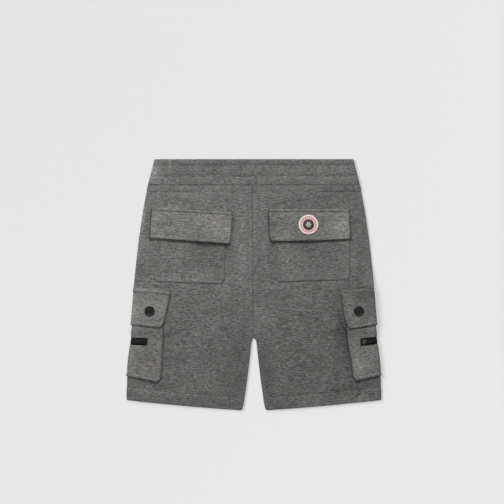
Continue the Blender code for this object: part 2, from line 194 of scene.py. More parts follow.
class Graph:
    """A material's or the world's node tree, started empty."""

    def __init__(self, owner: Union[Material, World]) -> None:
        """Turns nodes on for the owner and clears what they start with.

        Args:
            owner: What the node tree belongs to.
        """
        owner.use_nodes = True
        self.tree = owner.node_tree
        self.tree.nodes.clear()

    def node(self, kind: str, settings: Optional[dict[str, object]] = None,
             inputs: Optional[dict[Union[int, str], object]] = None,
             output: Union[int, str] = 0) -> Socket:
        """Adds a node.

        Args:
            kind: The node's type name.
            settings: Attributes of the node, set before its inputs.
            inputs: Values or sockets by input name or index.
            output: The output that is handed back.

        Returns:
            The chosen output, which holds nothing where the graph ends.
        """
        made = self.tree.nodes.new(kind)
        for name, value in (settings or {}).items():
            setattr(made, name, value)
        for key, value in (inputs or {}).items():
            if isinstance(value, Socket):
                self.tree.links.new(value.output, made.inputs[key])
            elif isinstance(value, (int, float)) and made.inputs[key].type in ("VECTOR", "RGBA"):
                size = len(made.inputs[key].default_value)
                made.inputs[key].default_value = (value,) * size
            else:
                made.inputs[key].default_value = value
        return Socket(self, made.outputs[output] if made.outputs else None)

    def place(self) -> Socket:
        """The surface's own coordinates, in metres."""
        return self.node("ShaderNodeTexCoord", output="Object")

    def parts(self, unit: float = MM) -> tuple[Socket, Socket, Socket]:
        """The surface's own x, y and z, in a unit given in metres."""
        split = self.node("ShaderNodeSeparateXYZ", inputs={0: self.place() * (1 / unit)}).output.node
        return tuple(Socket(self, component) for component in split.outputs)

    def vector(self, x: Operand, y: Operand, z: Operand) -> Socket:
        """A vector from three components."""
        return self.node("ShaderNodeCombineXYZ", inputs={0: x, 1: y, 2: z})

    def noise(self, vector: Socket, scale: float, detail: float = 0.0, roughness: float = 0.5) -> Socket:
        """Smooth noise around 0.5, with scale cells to the unit."""
        inputs = {"Vector": vector, "Scale": scale, "Detail": detail, "Roughness": roughness}
        return self.node("ShaderNodeTexNoise", inputs=inputs)

    def mix(self, factor: Operand, first: Union[Colour, Socket], second: Union[Colour, Socket]) -> Socket:
        """A colour between two others, where factor is the share of the second."""
        ends = [x if isinstance(x, Socket) else (*x, 1.0) for x in (first, second)]
        return self.node("ShaderNodeMix", {"data_type": "RGBA"}, {0: factor, 6: ends[0], 7: ends[1]}, 2)

    def bump(self, height: Socket, depth: float, strength: float = 1.0) -> Socket:
        """A normal from a height between 0 and 1 that stands for a depth in metres."""
        inputs = {"Height": height, "Distance": depth, "Strength": strength}
        return self.node("ShaderNodeBump", inputs=inputs)

    def surface(self, **inputs: object) -> None:
        """Ends the graph in one Principled BSDF, whose inputs are named with underscores for spaces."""
        named = {name.replace("_", " "): value for name, value in inputs.items()}
        self.end(self.node("ShaderNodeBsdfPrincipled", inputs=named))

    def end(self, shader: Socket, kind: str = "ShaderNodeOutputMaterial") -> None:
        """Ends the graph in a shader."""
        self.node(kind, inputs={"Surface": shader})


def new_material(name: str, colour: Colour) -> tuple[Material, Graph]:
    """Starts a material.

    Args:
        name, colour: Its name, and its plain colour in the viewport.

    Returns:
        The material and its empty graph.
    """
    material = bpy.data.materials.new(name)
    material.diffuse_color = (*colour, 1.0)
    return material, Graph(material)


def scaled(colour: Colour, share: float) -> Colour:
    """A colour made darker or paler by a share."""
    return tuple(channel * share for channel in colour)


@dataclass(frozen=True)
class Finish:
    """What every finish has; each kind draws its own."""

    name: str
    colour: Colour

    def make(self) -> Material:
        """Builds the material.

        Returns:
            The material.
        """
        material, graph = new_material(self.name, self.colour)
        self.draw(graph)
        return material


@dataclass(frozen=True)
class HeatherKnit(Finish):
    """Brushed fleece jersey, in which dark and pale fibres are blended into short level streaks.

    Sizes are in millimetres: a streak is long across the garment and about one course tall. The shares
    say how much the streaks, the longer rows, the single flecks and the broad clouds each count.
    """

    dark: Colour
    streak_length: float = 5.6
    streak_height: float = 1.4
    row_length: float = 15.0
    row_height: float = 1.6
    fleck: float = 0.5
    fleck_stretch: float = 2.6
    cloud: float = 24.0
    streak_share: float = 1.3
    row_share: float = 0.35
    fleck_share: float = 1.4
    cloud_share: float = 0.3
    blend_ends: tuple[float, float] = (-0.1, 1.1)
    darks: float = 1.35
    tint_patch: float = 11.0
    tint_shift: tuple[float, float, float] = (40.0, 7.0, 0.0)
    tint: float = 0.1
    wale: float = 0.75
    course: float = 0.62
    loop_depth: float = 0.14

    def draw(self, graph: Graph) -> None:
        """Draws the finish in its material's graph.

        Args:
            graph: The graph.
        """
        x, y, z = graph.parts()
        long, tall = self.streak_length, self.streak_height
        streaks = graph.noise(graph.vector(x / long, y / tall, z / long), 1.0, 1.0, 0.45)
        long, tall = self.row_length, self.row_height
        rows = graph.noise(graph.vector(x / long, y / tall, z / long), 1.0, 1.0)
        long, tall = self.fleck * self.fleck_stretch, self.fleck
        flecks = graph.noise(graph.vector(x / long, y / tall, z / tall), 1.0)
        clouds = graph.noise(graph.vector(x, y, z), 1 / self.cloud, 1.0)
        shares = ((streaks, self.streak_share), (rows, self.row_share), (flecks, self.fleck_share),
                  (clouds, self.cloud_share))
        blend = sum(((fibres - 0.5) * share for fibres, share in shares), 0.5)
        # Painted light and shade: the cloth's colour is scaled by each vertex's nap share.
        nap = graph.node("ShaderNodeAttribute", {"attribute_name": "nap"}, output="Fac") + 1.0
        spots = graph.vector(x, y, z)
        warm = (graph.noise(spots, 1 / self.tint_patch, 1.0) - 0.5) * self.tint
        green = (graph.noise(spots + self.tint_shift, 1 / self.tint_patch, 1.0) - 0.5) * self.tint
        tints = graph.vector(warm + 1.0, green + 1.0, 1.0 - warm)
        share = blend.between(*self.blend_ends) ** self.darks
        colour = graph.mix(share, self.dark, self.colour) * nap * tints

        leg = (x / self.wale).apply("PINGPONG", 0.5)
        loop = ((y + leg * self.wale) / self.course).apply("PINGPONG", 0.5) * 2.0
        wale = leg * 2.0
        height = loop * 0.5 + wale * 0.25 + streaks * 0.8 + flecks * 0.5
        graph.surface(Base_Color=colour, Roughness=0.96, Sheen_Weight=0.12, Sheen_Roughness=0.5,
                      Specular_IOR_Level=0.15, Normal=graph.bump(height, self.loop_depth * MM, 0.55))


@dataclass(frozen=True)
class Thread(Finish):
    """Spun sewing thread, whose twist is shown in the colour only, as painted shade in the twist's grooves.
    """

    shade: float = 0.7
    slant: float = 0.8
    twist: float = 0.55
    roughness: float = 0.75

    def draw(self, graph: Graph) -> None:
        """Draws the finish in its material's graph.

        Args:
            graph: The graph.
        """
        x, y, _ = graph.parts()
        turns = (x + y * self.slant).wave(self.twist)
        # Painted shade: darker in the grooves of the twist.
        colour = graph.mix(turns, scaled(self.colour, self.shade), self.colour)
        graph.surface(Base_Color=colour, Roughness=self.roughness, Sheen_Weight=0.1,
                      Specular_IOR_Level=0.3)


@dataclass(frozen=True)
class ZipTape(Finish):
    """Fine woven polyester tape."""

    name: str = "zip_tape_weave"
    colour: Colour = (0.0055, 0.005, 0.0045)
    pale: float = 1.7
    rib: float = 0.9
    pick: float = 0.7

    def draw(self, graph: Graph) -> None:
        """Draws the finish in its material's graph.

        Args:
            graph: The graph.
        """
        x, y, _ = graph.parts()
        weave = x.wave(self.rib) * 0.6 + y.wave(self.rib * self.pick) * 0.4
        # Painted light and shade: paler on the weave's raised threads and darker between them.
        colour = graph.mix(weave, self.colour, scaled(self.colour, self.pale))
        graph.surface(Base_Color=colour, Roughness=0.7, Specular_IOR_Level=0.2,
                      Normal=graph.bump(weave, 0.1 * MM, 0.5))


@dataclass(frozen=True)
class BlackEnamel(Finish):
    """Metal under smooth black enamel; grain is how much its roughness varies, a cell in each 1.1 mm."""

    name: str = "black_enamel"
    colour: Colour = (0.008, 0.0075, 0.007)
    roughness: float = 0.5
    grain: float = 0.16
    coat: float = 0.04

    def draw(self, graph: Graph) -> None:
        """Draws the finish in its material's graph."""
        grain = graph.noise(graph.place(), 900.0, 2.0)
        graph.surface(Base_Color=(*self.colour, 1.0), Metallic=0.35, Coat_Weight=self.coat,
                      Roughness=grain * self.grain + (self.roughness - self.grain / 2))


@dataclass(frozen=True)
class CoilPlastic(Finish):
    """The satin black plastic of a zip's teeth, darker and smoother in specks."""

    name: str = "zip_teeth"
    colour: Colour = (0.013, 0.012, 0.011)
    shade: float = 0.7

    def draw(self, graph: Graph) -> None:
        """Draws the finish in its material's graph.

        Args:
            graph: The graph.
        """
        grain = graph.noise(graph.place(), 700.0, 2.0)
        colour = graph.mix(grain, scaled(self.colour, self.shade), self.colour)
        graph.surface(Base_Color=colour, Roughness=grain * 0.12 + 0.36, Specular_IOR_Level=0.3)


@dataclass(frozen=True)
class Twill(Finish):
    """The patch's woven ground, in slanting ribs."""

    name: str = "patch_ground"
    colour: Colour = (0.68, 0.42, 0.43)
    shade: float = 0.8
    rib: float = 0.85
    slant: float = 1.6

    def draw(self, graph: Graph) -> None:
        """Draws the finish in its material's graph.

        Args:
            graph: The graph.
        """
        x, y, _ = graph.parts()
        ribs = (x + y * self.slant).wave(self.rib)
        mottle = graph.noise(graph.vector(x, y, 0.0), 0.6, 2.0)
        # Painted shade between the ribs, with a random mottle of the ground's own tone.
        colour = graph.mix(ribs * 0.6 + mottle * 0.4, scaled(self.colour, self.shade), self.colour)
        graph.surface(Base_Color=colour, Roughness=0.85, Normal=graph.bump(ribs, 0.12 * MM, 0.6))


@dataclass(frozen=True)
class Embroidery(Finish):
    """Rayon floss, laid in fine satin stitches that point out from the patch's middle."""

    shade: float = 0.62
    roughness: float = 0.5
    strands: float = 96.0
    sheen: float = 0.15

    def draw(self, graph: Graph) -> None:
        """Draws the finish in its material's graph.

        Args:
            graph: The graph.
        """
        x, y, _ = graph.parts()
        around = y.apply("ARCTAN2", x)
        strand = (around * self.strands).apply("SINE") * 0.5 + 0.5
        # Painted shade: darker between the strands, where their bump dips.
        colour = graph.mix(strand, scaled(self.colour, self.shade), self.colour)
        graph.surface(Base_Color=colour, Roughness=self.roughness, Sheen_Weight=self.sheen,
                      Specular_IOR_Level=0.3, Normal=graph.bump(strand, 0.15 * MM, 0.5))


class Finishes:
    """Every material of the shorts, made once."""

    def __init__(self) -> None:
        """Makes the cloths, threads, metals and the patch's colours."""
        self.sweat = HeatherKnit("sweat_heather", (0.234, 0.231, 0.224), (0.062, 0.0605, 0.0585)).make()
        self.pocket = HeatherKnit("pocket_heather", (0.271, 0.267, 0.257), (0.077, 0.075, 0.072)).make()
        self.thread = Thread("grey_thread", (0.150, 0.147, 0.142)).make()
        self.tape = ZipTape().make()
        self.teeth = CoilPlastic().make()
        self.enamel = BlackEnamel().make()
        # Painted highlight: a paler enamel that stands in for the glint on the right zip's slider.
        self.painted_glint = BlackEnamel("painted_glint_enamel", (0.10, 0.097, 0.092), 0.4).make()
        self.twill = Twill().make()
        self.rim = Embroidery("patch_rim", (0.80, 0.65, 0.64), shade=0.8).make()
        self.rosette = Embroidery("patch_rosette", (0.040, 0.022, 0.024), strands=60.0, sheen=0.0).make()
        self.bars = Thread("patch_bars", (0.36, 0.14, 0.15)).make()
        self.dot = Embroidery("patch_dot", (0.38, 0.42, 0.40), strands=24.0).make()

    def of(self, slot: Slot) -> Material:
        """The finish of the cloth in a slot."""
        return {Slot.SWEAT: self.sweat, Slot.POCKET: self.pocket, Slot.TAPE: self.tape}[slot]


# ---- How the cloth lies ----


RIPPLE_KNOTS = 97
RIPPLE_START = 40.0
TABLE_GAP = 0.05
EASE_STEPS = (-1.0, -0.5, 0.0, 0.5, 1.0)


def soft_step(value: Array, low: float, high: float) -> Array:
    """A soft step from 0 at low to 1 at high."""
    share = np.clip((np.asarray(value, float) - low) / (high - low), 0.0, 1.0)
    return share * share * (3.0 - 2.0 * share)


def bell(value: Array, middle: float, width: float) -> Array:
    """A soft ridge of height 1 around middle."""
    return np.exp(-(((np.asarray(value, float) - middle) / width) ** 2))


def ripple(x: Array, y: Array, across: float, along: float, seed: Seed) -> Array:
    """Makes uneven ripples, drawn at random on a square lattice and softly joined up.

    Args:
        x, y: Places across the garment and along it.
        across, along: About how far apart the crests are, each way.
        seed: The draw.

    Returns:
        The ripples' heights, from -1 to 1.
    """
    heights = np.random.default_rng(seed.value).uniform(-1.0, 1.0, (RIPPLE_KNOTS, RIPPLE_KNOTS))
    u, v = (np.asarray(places, float) / apart + RIPPLE_START for places, apart in ((x, across), (y, along)))
    i, j = np.floor(u).astype(int), np.floor(v).astype(int)
    share_u, share_v = soft_step(u - i, 0.0, 1.0), soft_step(v - j, 0.0, 1.0)
    corner = [[heights[(i + more_i) % RIPPLE_KNOTS, (j + more_j) % RIPPLE_KNOTS] for more_j in (0, 1)]
              for more_i in (0, 1)]
    near, far = (pair[0] * (1 - share_v) + pair[1] * share_v for pair in corner)
    return near * (1 - share_u) + far * share_u


def row_sway(places: Array) -> Array:
    """How far a sewn row wanders at each place across the garment, from -1 to 1."""
    return np.sin(places * 0.35) * np.cos(places * 0.083)


@dataclass(frozen=True)
class Profile:
    """A size that changes down the garment.

    Its stations, from the waist down, each give a place and the size there. Between them it is read
    softly, as a mean over places up to ease away.
    """

    stations: tuple[tuple[float, float], ...]
    ease: float = 4.0

    def read(self, y: Array) -> Array:
        """The size at each place along the garment."""
        places, sizes = zip(*reversed(self.stations))
        return np.mean([np.interp(np.asarray(y, float) + step * self.ease, places, sizes)
                        for step in EASE_STEPS], axis=0)


@dataclass(frozen=True)
class Swell:
    """A soft rise or hollow, or a paler or darker place, around its own middle.

    Its length and width are those at which it has sunk to about a third of its height, and its heading
    is turned from +X, in degrees.
    """

    x: float
    y: float
    length: float
    width: float
    height: float
    heading: float = 0.0

    def at(self, x: Array, y: Array) -> Array:
        """Reads the swell.

        Args:
            x, y: Places across the garment, on their own side of it, and along it.

        Returns:
            Its height at each.
        """
        turn = math.radians(self.heading)
        dx, dy = x - self.x, y - self.y
        along = dx * math.cos(turn) + dy * math.sin(turn)
        across = dy * math.cos(turn) - dx * math.sin(turn)
        return self.height * np.exp(-((along / self.length) ** 2) - (across / self.width) ** 2)


def swells(*rows: Sequence[float]) -> tuple[Swell, ...]:
    """Swells from rows of their x, y, length, width, height and heading."""
    return tuple(Swell(*row) for row in rows)


def heap(swells: Sequence[Swell], x: Array, y: Array) -> Array:
    """The sum of some swells at each place."""
    return sum((swell.at(x, y) for swell in swells), np.zeros_like(np.asarray(x, float)))


def swelling(swells: Sequence[Swell]) -> Callable[["ClothPiece", Array, Array], Array]:
    """What some swells add to a piece's cloth, for use as its puff."""
    return lambda piece, a, y: heap(swells, piece.side.value * a, y)


BACK_FOLDS = swells(
    # Either side of the centre seam, and down from it to the legs.
    (-15, 62, 62, 9, 1.9, 91), (13, 70, 55, 10, -0.9, 90), (19, 30, 40, 11, 0.7, 84),
    (-26, -40, 38, 11, -0.8, 62), (24, -46, 40, 12, -0.9, 118), (-46, -62, 46, 14, 0.9, 40),
    (48, -66, 46, 13, 0.8, 142),
    # The yoke above the flaps.
    (-92, 131, 34, 9, 1.1, 2), (-40, 127, 16, 8, -0.6, 70), (110, 134, 30, 8, 0.7, -4),
    (122, 129, 13, 8, -0.9, 30), (40, 133, 34, 9, 0.5, 6),
    # The legs below the pockets.
    (-96, -24, 46, 12, 0.8, 12), (-84, -58, 52, 13, -0.7, 20), (-100, -96, 44, 13, 0.8, 24),
    (-70, -126, 50, 14, -0.6, 30), (88, -22, 44, 12, 0.7, -14), (78, -58, 50, 13, -0.8, -24),
    (84, -100, 46, 14, 0.9, -30), (60, -134, 42, 12, -0.5, -34),
    # Beside the cargo pockets.
    (-124, -78, 66, 8, -1.7, 88), (-112, -70, 60, 9, 0.8, 88), (129, -86, 66, 8, -2.2, 94),
    (106, -92, 58, 13, 1, 95),
    # The right hem's small fold.
    (159, -166, 9, 3, -1.6, 62), (151, -163, 10, 4, 0.9, 62), (-120, -168, 22, 6, 0.6, 4),
)
FRONT_FOLDS = swells(
    (-14, 60, 58, 9, 0.9, 89), (17, 66, 54, 10, 0.7, 92), (-44, -58, 44, 11, 0.9, 42),
    (50, -64, 48, 12, 1, 138), (-92, 96, 42, 10, 0.8, 14), (88, 104, 38, 11, 0.9, -12),
    (-84, 22, 46, 12, 0.7, 22), (96, 18, 50, 11, 0.8, -26), (-70, -116, 48, 12, 0.9, 34),
    (74, -122, 44, 13, 0.8, -36), (-112, -74, 54, 9, 1, 88), (110, -80, 58, 9, 1.1, 93),
)


@dataclass(frozen=True)
class Relief:
    """The main rises and creases of the cloth, above the flat lay, by face.

    puff is how high the empty leg's back stands. The rest are where things start and end: cargo_start
    and cargo_end the cargo pockets, down the garment, legs where the two legs part, and the others a
    distance from the side fold or from the centre seam and the inner leg, over which the relief grows.
    """

    puff: Profile = Profile(((150, 0.3), (110, 0.9), (60, 1.3), (0, 2), (-60, 2.6), (-120, 2.5),
                             (-160, 1.6), (-187, 0.7)), 12)
    cargo_start: tuple[float, float] = (-22.0, 4.0)
    cargo_end: tuple[float, float] = (146.0, 162.0)
    beside_fold: tuple[float, float] = (1.0, 20.0)
    beside_cargo: tuple[float, float] = (26.0, 34.0)
    legs: tuple[float, float] = (40.0, 84.0)
    puff_from_seam: tuple[float, float] = (-8.0, 34.0)
    puff_from_leg: tuple[float, float] = (-4.0, 30.0)
    folds_from_seam: tuple[float, float] = (-2.0, 10.0)
    front_from_seam: tuple[float, float] = (0.0, 12.0)
    fold_share: float = 1.6
    fine: float = 0.22
    finest: float = 0.10
    back: tuple[Swell, ...] = BACK_FOLDS
    front: tuple[Swell, ...] = FRONT_FOLDS

    def at(self, face: Face, x: Array, y: Array, inside: Array, outside: Array) -> Array:
        """How far the cloth rises from the flat lay.

        Args:
            face: The side of the garment.
            x, y: Places across it, on their own side, and along it.
            inside, outside: Distances from the centre seam or inner leg, and from the side fold.

        Returns:
            The rise at each place.
        """
        down = -np.asarray(y, float)
        cargo = soft_step(down, *self.cargo_start) * (1.0 - soft_step(down, *self.cargo_end))
        near, far = self.beside_fold
        start, more = self.beside_cargo[0], self.beside_cargo[1] - self.beside_cargo[0]
        fade = soft_step(outside - cargo * start, near, far + cargo * more)
        if face is Face.FRONT:
            folds = np.maximum(heap(self.front, x, y), 0.0)
            return folds * fade * soft_step(inside, *self.front_from_seam)
        inner = 1.0 - soft_step(down, *self.legs) * (1.0 - soft_step(inside, *self.puff_from_leg))
        rise = self.puff.read(y) * soft_step(inside, *self.puff_from_seam) * inner
        folds = self.fold_share * heap(self.back, x, y) * soft_step(inside, *self.folds_from_seam)
        fine = self.fine * ripple(x, y, 15.0, 11.0, Seed.CREASES)
        fine = fine + self.finest * ripple(x, y, 7.0, 5.0, Seed.FINE_CREASES)
        return (rise + folds + fine) * fade


# Painted light and shade on the back: paler on ridges and side folds where light falls, darker in valleys,
# beside the pockets, under the flaps and towards the hem where shade falls.
BACK_PAINTED_SHADING = swells(
    # The band and the yoke.
    (-20, 184, 150, 9, -0.21), (-70, 167, 90, 11, -0.14), (-2, 159, 36, 13, -0.11),
    (122, 156, 40, 14, -0.06), (132, 165.4, 20, 1.4, -0.25, 1), (-20, 162.6, 18, 1.4, -0.2),
    (90, 131, 78, 17, -0.17), (66, 119, 30, 9, -0.1), (146, 130, 22, 24, -0.09),
    (27, 80, 66, 11, -0.17, 90), (14, 92, 22, 5.5, 0.2, 90), (-128, 115.4, 24, 2.6, 0.3, -2),
    (149, 92, 20, 6, -0.2, 85), (-30, 99, 13, 4.5, -0.28, 88),
    # The side folds.
    (-151, 171, 14, 7.5, 0.8, 80), (-168, 94, 40, 4.5, 0.52, 83.5), (-172, 20, 16, 8, -0.2, 85),
    (-185, -38, 24, 4.5, 0.42, 88),
    # Painted light on the ridge beside the centre seam.
    (-16, 25, 42, 11, 0.19, 91), (-4, 62, 26, 8, 0.12, 88), (6, -58, 26, 11, 0.15, 80),
    # The flaps.
    (-118, 96, 42, 18, -0.06, -3), (-52, 84, 18, 19, 0.11), (-128, 71, 22, 8, 0.09),
    (54, 91, 34, 18, -0.21), (104, 100, 18, 14, -0.12), (132, 86, 12, 15, 0.36),
    # The pockets.
    (-76, 52, 24, 17, -0.21, 104), (-56, 44, 26, 10, -0.08), (-62, 57, 26, 4, -0.26, -4),
    (75, 60, 40, 3.5, -0.12, 1), (-92, 7, 46, 8, 0.15, -3), (90, 53, 34, 15, -0.19, -34),
    (131, 34, 15, 9, 0.18, 90), (128, 52, 18, 9, -0.12), (52, 32, 20, 9, 0.08, -60),
    (162, 72, 46, 11, -0.13, 82), (-70, -11, 32, 6, -0.1), (85, -11, 46, 7, -0.09),
    # The legs.
    (-21, -118, 52, 11, -0.19, 84), (19, -142, 44, 12, -0.19, 98), (-88, -126, 46, 38, 0.09),
    (-142, -163, 34, 9, 0.16, -3), (98, -76, 44, 28, -0.08, 90), (160, -171, 26, 6, 0.19, 3),
    (-127, -86, 44, 6, -0.11, 89), (131, -76, 64, 6.5, -0.2, 93), (139, -103, 42, 4.6, -0.3, 98.6),
    (-40, -112, 44, 14, -0.07, 84), (-126, -158, 30, 12, 0.08, -3), (110, -20, 90, 190, -0.03),
    (0, -96, 128, 74, -0.05), (160, -149, 24, 5, -0.3, 15), (-163, -149, 26, 4.5, -0.14, -12),
    # The cargo pockets.
    (-158, -34, 30, 17, 0.28), (-180, -50, 34, 7, 0.3, 90), (-158, -64, 14, 7, 0.14),
    (-184, -112, 30, 5, 0.25, 90), (-156, -130, 18, 10, 0.2), (166, -14, 30, 12, -0.36),
    (130.4, -11.5, 7.5, 2.2, 0.25, -86), (152.4, -165.6, 6.5, 1.5, 0.14, -53),
    (161.4, -166.2, 6.5, 1.3, 0.12, 49), (150, -34, 18, 13, -0.08, 60), (171, -38, 20, 8, -0.24, 90),
    (142.5, -33, 16, 6, 0.2, 92), (151, -114, 18, 7, 0.2, 94), (134, -61, 12, 3, -0.35, 118),
    (178, -62, 13, 8, 0.16, 90), (161, -128, 12, 11, 0.32), (173, -106, 19, 12, 0.2, 90),
)
# Painted light and shade on the front, in the same way.
FRONT_PAINTED_SHADING = swells(
    (-14, 48, 60, 12, 0.12, 90), (40, 70, 60, 16, -0.1, 84), (-96, 118, 60, 17, -0.09, 4),
    (-20, -124, 50, 12, -0.14, 84), (20, -130, 50, 12, -0.14, 97), (92, -96, 46, 32, 0.08, 20),
    (-88, -70, 46, 26, -0.07, 70),
)


@dataclass(frozen=True)
class Nap:
    """Painted light and shade on the cloth: paler where light falls and darker where shade falls, as shares
    of its colour, by face.
    """

    back: tuple[Swell, ...] = BACK_PAINTED_SHADING
    front: tuple[Swell, ...] = FRONT_PAINTED_SHADING

    def at(self, face: Face, x: Array, y: Array) -> Array:
        """The share by which the cloth is paler or darker at each place."""
        return heap(self.back if face is Face.BACK else self.front, x, y)


@dataclass(frozen=True)
class Lay:
    """The shape that the laid shorts take: their outline, and how the cargo pockets raise the legs.

    rise is half the height of an empty leg. A bag or a flap lifts the middle of the leg by its own rise,
    more and more along the slope, and tucks in the side fold that it wraps.
    """

    rise: float = 1.8
    bag_rise: float = 1.7
    flap_rise: float = 2.1
    waist_y: float = 188.3
    band_seam_y: float = 149.1
    hem_outer_y: float = -173.5
    hem_inner_y: float = -189.1
    hem_bow: float = 1.0
    crotch_y: float = -80.0
    crotch_turn: tuple[float, float] = (1.0, 2.5)
    seam_top_x: float = -2.4
    seam_crotch_x: float = -0.9
    seam_gap: float = 0.12
    half_width: Profile = Profile((
        (188.3, 149.5), (171.8, 153.6), (150, 159.4), (110, 167), (66, 173.4), (22, 178.3),
        (-11, 181), (-56, 184.7), (-67, 184.2), (-80, 184.8), (-112, 188.8), (-136, 190.9),
        (-143, 190.6), (-172.6, 191.2)), 3)
    gap: Profile = Profile(((-80, 0.15), (-83, 2.9), (-88, 3.9), (-107, 5.8), (-143, 10),
                            (-179, 15.2), (-187.4, 17.4)), 1.5)
    bag_lift: Profile = Profile(((20, 0), (0, 1), (-148, 1), (-166, 0)))
    flap_lift: Profile = Profile(((20, 0), (0, 1), (-67, 1), (-77, 0)), 3)
    bag_tuck: Profile = Profile(((-4, 0), (-12, 1), (-133, 1), (-139.5, 0.15), (-144, 0)), 1.5)
    flap_tuck: Profile = Profile(((-4, 0), (-12.5, 1), (-56, 1), (-67, 0.25), (-70, 0)), 1.5)
    slope: tuple[float, float] = (98.0, 124.0)
    relief: Relief = Relief()
    # Painted light and shade on the cloth.
    nap: Nap = Nap()

    def middle(self, x: Array, y: Array) -> Array:
        """The height midway between the back and the front, x from the middle of the garment."""
        lift = self.bag_rise * self.bag_lift.read(y) + self.flap_rise * self.flap_lift.read(y)
        return self.rise + soft_step(np.abs(x), *self.slope) * lift

    def width(self, y: Array) -> Array:
        """How far from the middle a leg's own side fold runs."""
        tuck = self.bag_rise * self.bag_tuck.read(y) + self.flap_rise * self.flap_tuck.read(y)
        return self.half_width.read(y) - tuck

    def fold_centre(self, y: Array) -> Array:
        """The distance from the middle at which the cloth starts to turn round the side fold."""
        return self.width(y) - self.rise

    def inner(self, side: Side, y: Array) -> Array:
        """Where the centre seam or the inner leg runs.

        Args:
            side: The leg.
            y: Places along the garment.

        Returns:
            Its distance from the middle at each.
        """
        places = (self.crotch_y, self.waist_y)
        seam = side.value * np.interp(y, places, (self.seam_crotch_x, self.seam_top_x)) - self.seam_gap
        before, after = self.crotch_turn
        legs = soft_step(-np.asarray(y, float), -self.crotch_y - before, -self.crotch_y + after)
        return seam * (1.0 - legs) + self.gap.read(y) * legs

    def hem(self, share: Array) -> Array:
        """How far down the hem is, at a share of the way from the side fold to the inner leg."""
        drop = (self.hem_inner_y - self.hem_outer_y) * share
        return self.hem_outer_y + drop - self.hem_bow * 4.0 * share * (1.0 - share)

    def place(self, side: Side, face: Face, a: Array, y: Array, reach: "Reach", turn: float) -> Array:
        """Puts points of a piece where they lie.

        Args:
            side, face: The leg, and the face that a lies on up to the side fold.
            a, y: Distances from the middle and on round the side fold, and places along the garment.
            reach: How far the points stand out from the fold's centre.
            turn: The radius by which distances round the fold are counted.

        Returns:
            Their coordinates, in millimetres, clear of the table.
        """
        centre = self.fold_centre(y)
        angle = math.pi / 2 - np.clip((a - centre) / turn, 0.0, math.pi)
        past = np.maximum(a - centre - math.pi * turn, 0.0)
        flat_x = np.where(a < centre, a, centre - past)
        inside = flat_x - self.inner(side, y)
        rise = self.relief.at(face, side.value * flat_x, y, inside, centre - flat_x)
        tall = np.where(angle >= 0.0, reach.up, reach.down) * np.sin(angle) * face.value
        z = self.middle(flat_x, y) + tall + rise * np.where(angle >= 0.0, 1.0, 0.0)
        x = side.value * (flat_x + np.cos(angle) * reach.out)
        return np.stack((x, np.broadcast_to(y, x.shape), np.maximum(z, TABLE_GAP)), axis=-1)


@dataclass(frozen=True)
class Reach:
    """How far a surface stands out from the side fold's centre: beside it, above it and below it."""

    out: Size
    up: Size
    down: Size

    def plus(self, more: Size) -> "Reach":
        """The same surface, further out everywhere."""
        return Reach(self.out + more, self.up + more, self.down + more)

    def toward(self, other: "Reach", share: Array) -> "Reach":
        """A surface part of the way from this one to another."""
        pairs = zip(vars(self).values(), vars(other).values())
        return Reach(*(here + (there - here) * share for here, there in pairs))


PANEL_UNDER = Reach(0.2, 0.2, 0.2)
POCKET_UNDER = Reach(2.0, 2.0, 2.0)
GUSSET_UNDER = Reach(2.05, 2.05, 2.05)
BAG_UNDER = Reach(2.1, 3.4, 2.1)
ZIP_UNDER = Reach(2.3, 3.6, 2.3)
FLAP_UNDER = Reach(3.8, 5.1, 3.8)
FLAP_SEWN = Reach(0.5, 2.1, 2.1)


# ---- Pieces of cloth ----


# Where a grid's lines crowd: towards a rounded edge, as shares of the rounding, and at a sewn row.
ROUNDING = (0.05, 0.19, 0.41, 0.69, 1.0)
CORNER_ROUNDING = (0.12, 0.3, 0.6, 1.0)
ROW_LINES = (-1.4, -0.7, 0.0, 0.7, 1.4)
CLOSEST_LINES = 0.02
SPARE_STEP = 0.4


def stations(lengths: Sequence[float], step: float, rounds: Sequence[tuple[int, float, float]],
             seams: tuple[float, float]) -> Array:
    """Finds places for a grid's lines, which crowd where the cloth rounds over or is sewn down.

    Args:
        lengths: The distance from each knot to the next.
        step: The usual distance between lines.
        rounds: Knots that lines crowd towards, each with how far before and after it.
        seams: How far in from the first and from the last knot a stitched row runs, or 0 for none.

    Returns:
        The places, counted in knots.
    """
    ends = np.concatenate(([0.0], np.cumsum(lengths)))
    crowd = np.array(ROUNDING)
    wanted, taken = list(ends), []
    for seam, middle in zip(seams, (seams[0], ends[-1] - seams[1])):
        if 0.0 < seam < ends[-1] / 2:
            wanted += [middle + shift for shift in ROW_LINES]
            taken.append((middle + ROW_LINES[0], middle + ROW_LINES[-1]))
    for knot, before, after in rounds:
        close = [*(ends[knot] - before * crowd), *(ends[knot] + after * crowd)]
        wanted += [place for place in close if 0.0 < place < ends[-1]]
        taken.append((ends[knot] - before, ends[knot] + after))
    spare = step * SPARE_STEP
    even = np.linspace(0.0, ends[-1], max(2, round(ends[-1] / step) + 1))
    wanted += [place for place in even
               if not any(low - spare < place < high + spare for low, high in taken)]
    kept: list[float] = []
    for place in sorted(wanted):
        if not kept or place - kept[-1] >= CLOSEST_LINES:
            kept.append(place)
    return np.interp(kept, ends, np.arange(len(ends)))


def spread(knots: Array, down: Array, across: Array) -> Array:
    """Fills in a grid between its knots.

    Args:
        knots: The knots, as rows of points.
        down, across: Places down the rows and across them, counted in knots.

    Returns:
        The points there, as rows.
    """
    rows = np.minimum(down.astype(int), len(knots) - 2)
    share = (down - rows)[:, None, None]
    between = knots[rows] * (1 - share) + knots[rows + 1] * share
    columns = np.minimum(across.astype(int), knots.shape[1] - 2)
    share = (across - columns)[None, :, None]
    return between[:, columns] * (1 - share) + between[:, columns + 1] * share


